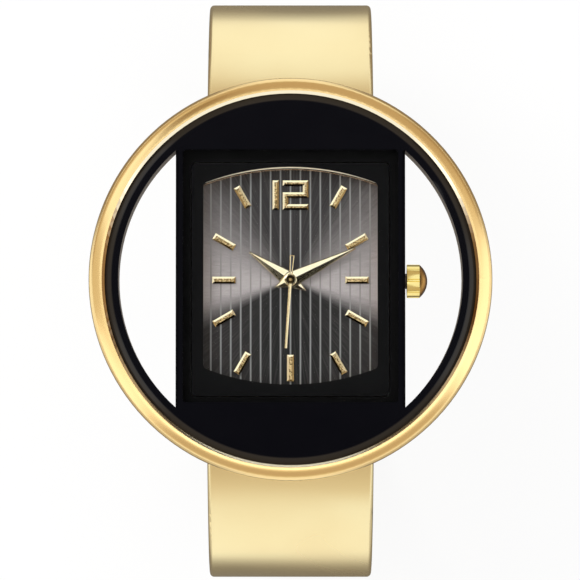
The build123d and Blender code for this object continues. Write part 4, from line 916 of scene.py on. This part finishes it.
cards = (
    (card(bearing=0, spread=190, high=6, low=78), (0.72, 0.62, 0.49)),
    (card(bearing=15, spread=40, high=8, low=76), (0.55, 0.44, 0.33)),
    (card(bearing=52, spread=20, high=64, low=100), (0.42, 0.32, 0.22)),
    (card(bearing=178, spread=56, high=26, low=66, soft=12), (0.57, 0.47, 0.37)),
    (card(bearing=98, spread=24, high=4, low=100), LAMP_WHITE),
    (card(bearing=243, spread=15, high=4, low=90), LAMP_WHITE),
    (card(bearing=308, spread=17, high=4, low=60), SOFT_LAMP_WHITE),
    (card(bearing=306, spread=30, high=72, low=100), (0.5, 0.38, 0.27)),
    (card(bearing=332, spread=11, high=6, low=56, soft=4.0), (0.3, 0.21, 0.12)),
    (card(bearing=180, spread=78, high=-14, low=12, soft=14), OVERHEAD_WHITE),
    (card(bearing=0, spread=80, high=12, low=19, soft=2.0), SOFT_LAMP_WHITE),
)
tint = ROOM_WHITE
for mask, tone in cards:
    tint = mix(sky, mask, tint, tone)
path = add(sky, "ShaderNodeLightPath").outputs
tint = mix(sky, path["Is Diffuse Ray"], tint, ROOM_WHITE)
tint = mix(sky, path["Is Camera Ray"], tint, WHITE)
feed(sky, sky.nodes["Background"].inputs["Color"], tint)

# Boards over the watch: a black flag high up and a smaller one below it, which the bars and the
# hands mirror, and a white card close over the crown. They show only in what shines.


def board(name, width, depth, place, tone):
    """Oval board hung level over the watch, which only shows in what shines."""
    bpy.ops.mesh.primitive_circle_add(vertices=96, radius=0.5, fill_type="NGON", location=place)
    hung = bpy.context.object
    hung.name = name
    hung.scale = (width, depth, 1)
    bpy.ops.object.transform_apply(location=True, rotation=False, scale=True)
    hung.visible_camera = False
    hung.visible_diffuse = False
    hung.visible_shadow = False
    material, tree = new_material(name)[:2]
    glow = add(tree, "ShaderNodeEmission", {"Color": tone, "Strength": 1.0})
    feed(tree, tree.nodes["Material Output"].inputs["Surface"], glow.outputs[0])
    hung.data.materials.append(material)


board("ceiling_flag", 0.1, 0.1, place=(0, 0.0182, 0.4), tone=(0.035, 0.034, 0.038))
board("hand_flag", 0.062, 0.032, place=(-0.001, -0.0235, 0.197), tone=(0.004, 0.003, 0.002))
board("crown_card", 0.0046, 0.02, place=(0.0148, 0.0005, 0.051), tone=WHITE)

# Key lamp: a round soft lamp to the upper left of the watch, aimed at the case. It lights the dull
# surfaces and throws the soft shadow, and what shines doesn't mirror it.
LAMP_PLACE = (-0.35, 0.3, 0.6)
LAMP_AIM = (0, 0, 0.04)
LAMP_SIZE = 0.4
LAMP_POWER = 2.0
bpy.ops.object.light_add(type="AREA", location=LAMP_PLACE)
lamp = bpy.context.object
lamp.name = "key_lamp"
lamp.data.shape = "DISK"
lamp.data.size = LAMP_SIZE
lamp.data.energy = LAMP_POWER
lamp.visible_glossy = False
lamp.rotation_euler = (Vector(LAMP_AIM) - lamp.location).to_track_quat("-Z", "Y").to_euler()

# Camera: nearly straight above the dial, a little from the six o'clock side. It has a long lens,
# and is aimed at the height of the ring's top, a little from the dial's middle towards six.
CAMERA_DISTANCE = 0.473
CAMERA_RISE = math.radians(87)
CAMERA_LENS = 283.0
AIM_X = -0.00005
AIM_Y = -0.0012
aim = Vector((AIM_X, AIM_Y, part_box("outer_ring")[1].z))
eye = aim + CAMERA_DISTANCE * Vector((0, -math.cos(CAMERA_RISE), math.sin(CAMERA_RISE)))
bpy.ops.object.camera_add(location=eye)
camera = bpy.context.object
camera.rotation_euler = (aim - eye).to_track_quat("-Z", "Y").to_euler()
camera.data.sensor_width = 36.0
camera.data.lens = CAMERA_LENS
camera.data.clip_start = 0.01
camera.data.clip_end = 10.0
bpy.context.scene.camera = camera
bpy.context.scene.view_settings.view_transform = "Standard"
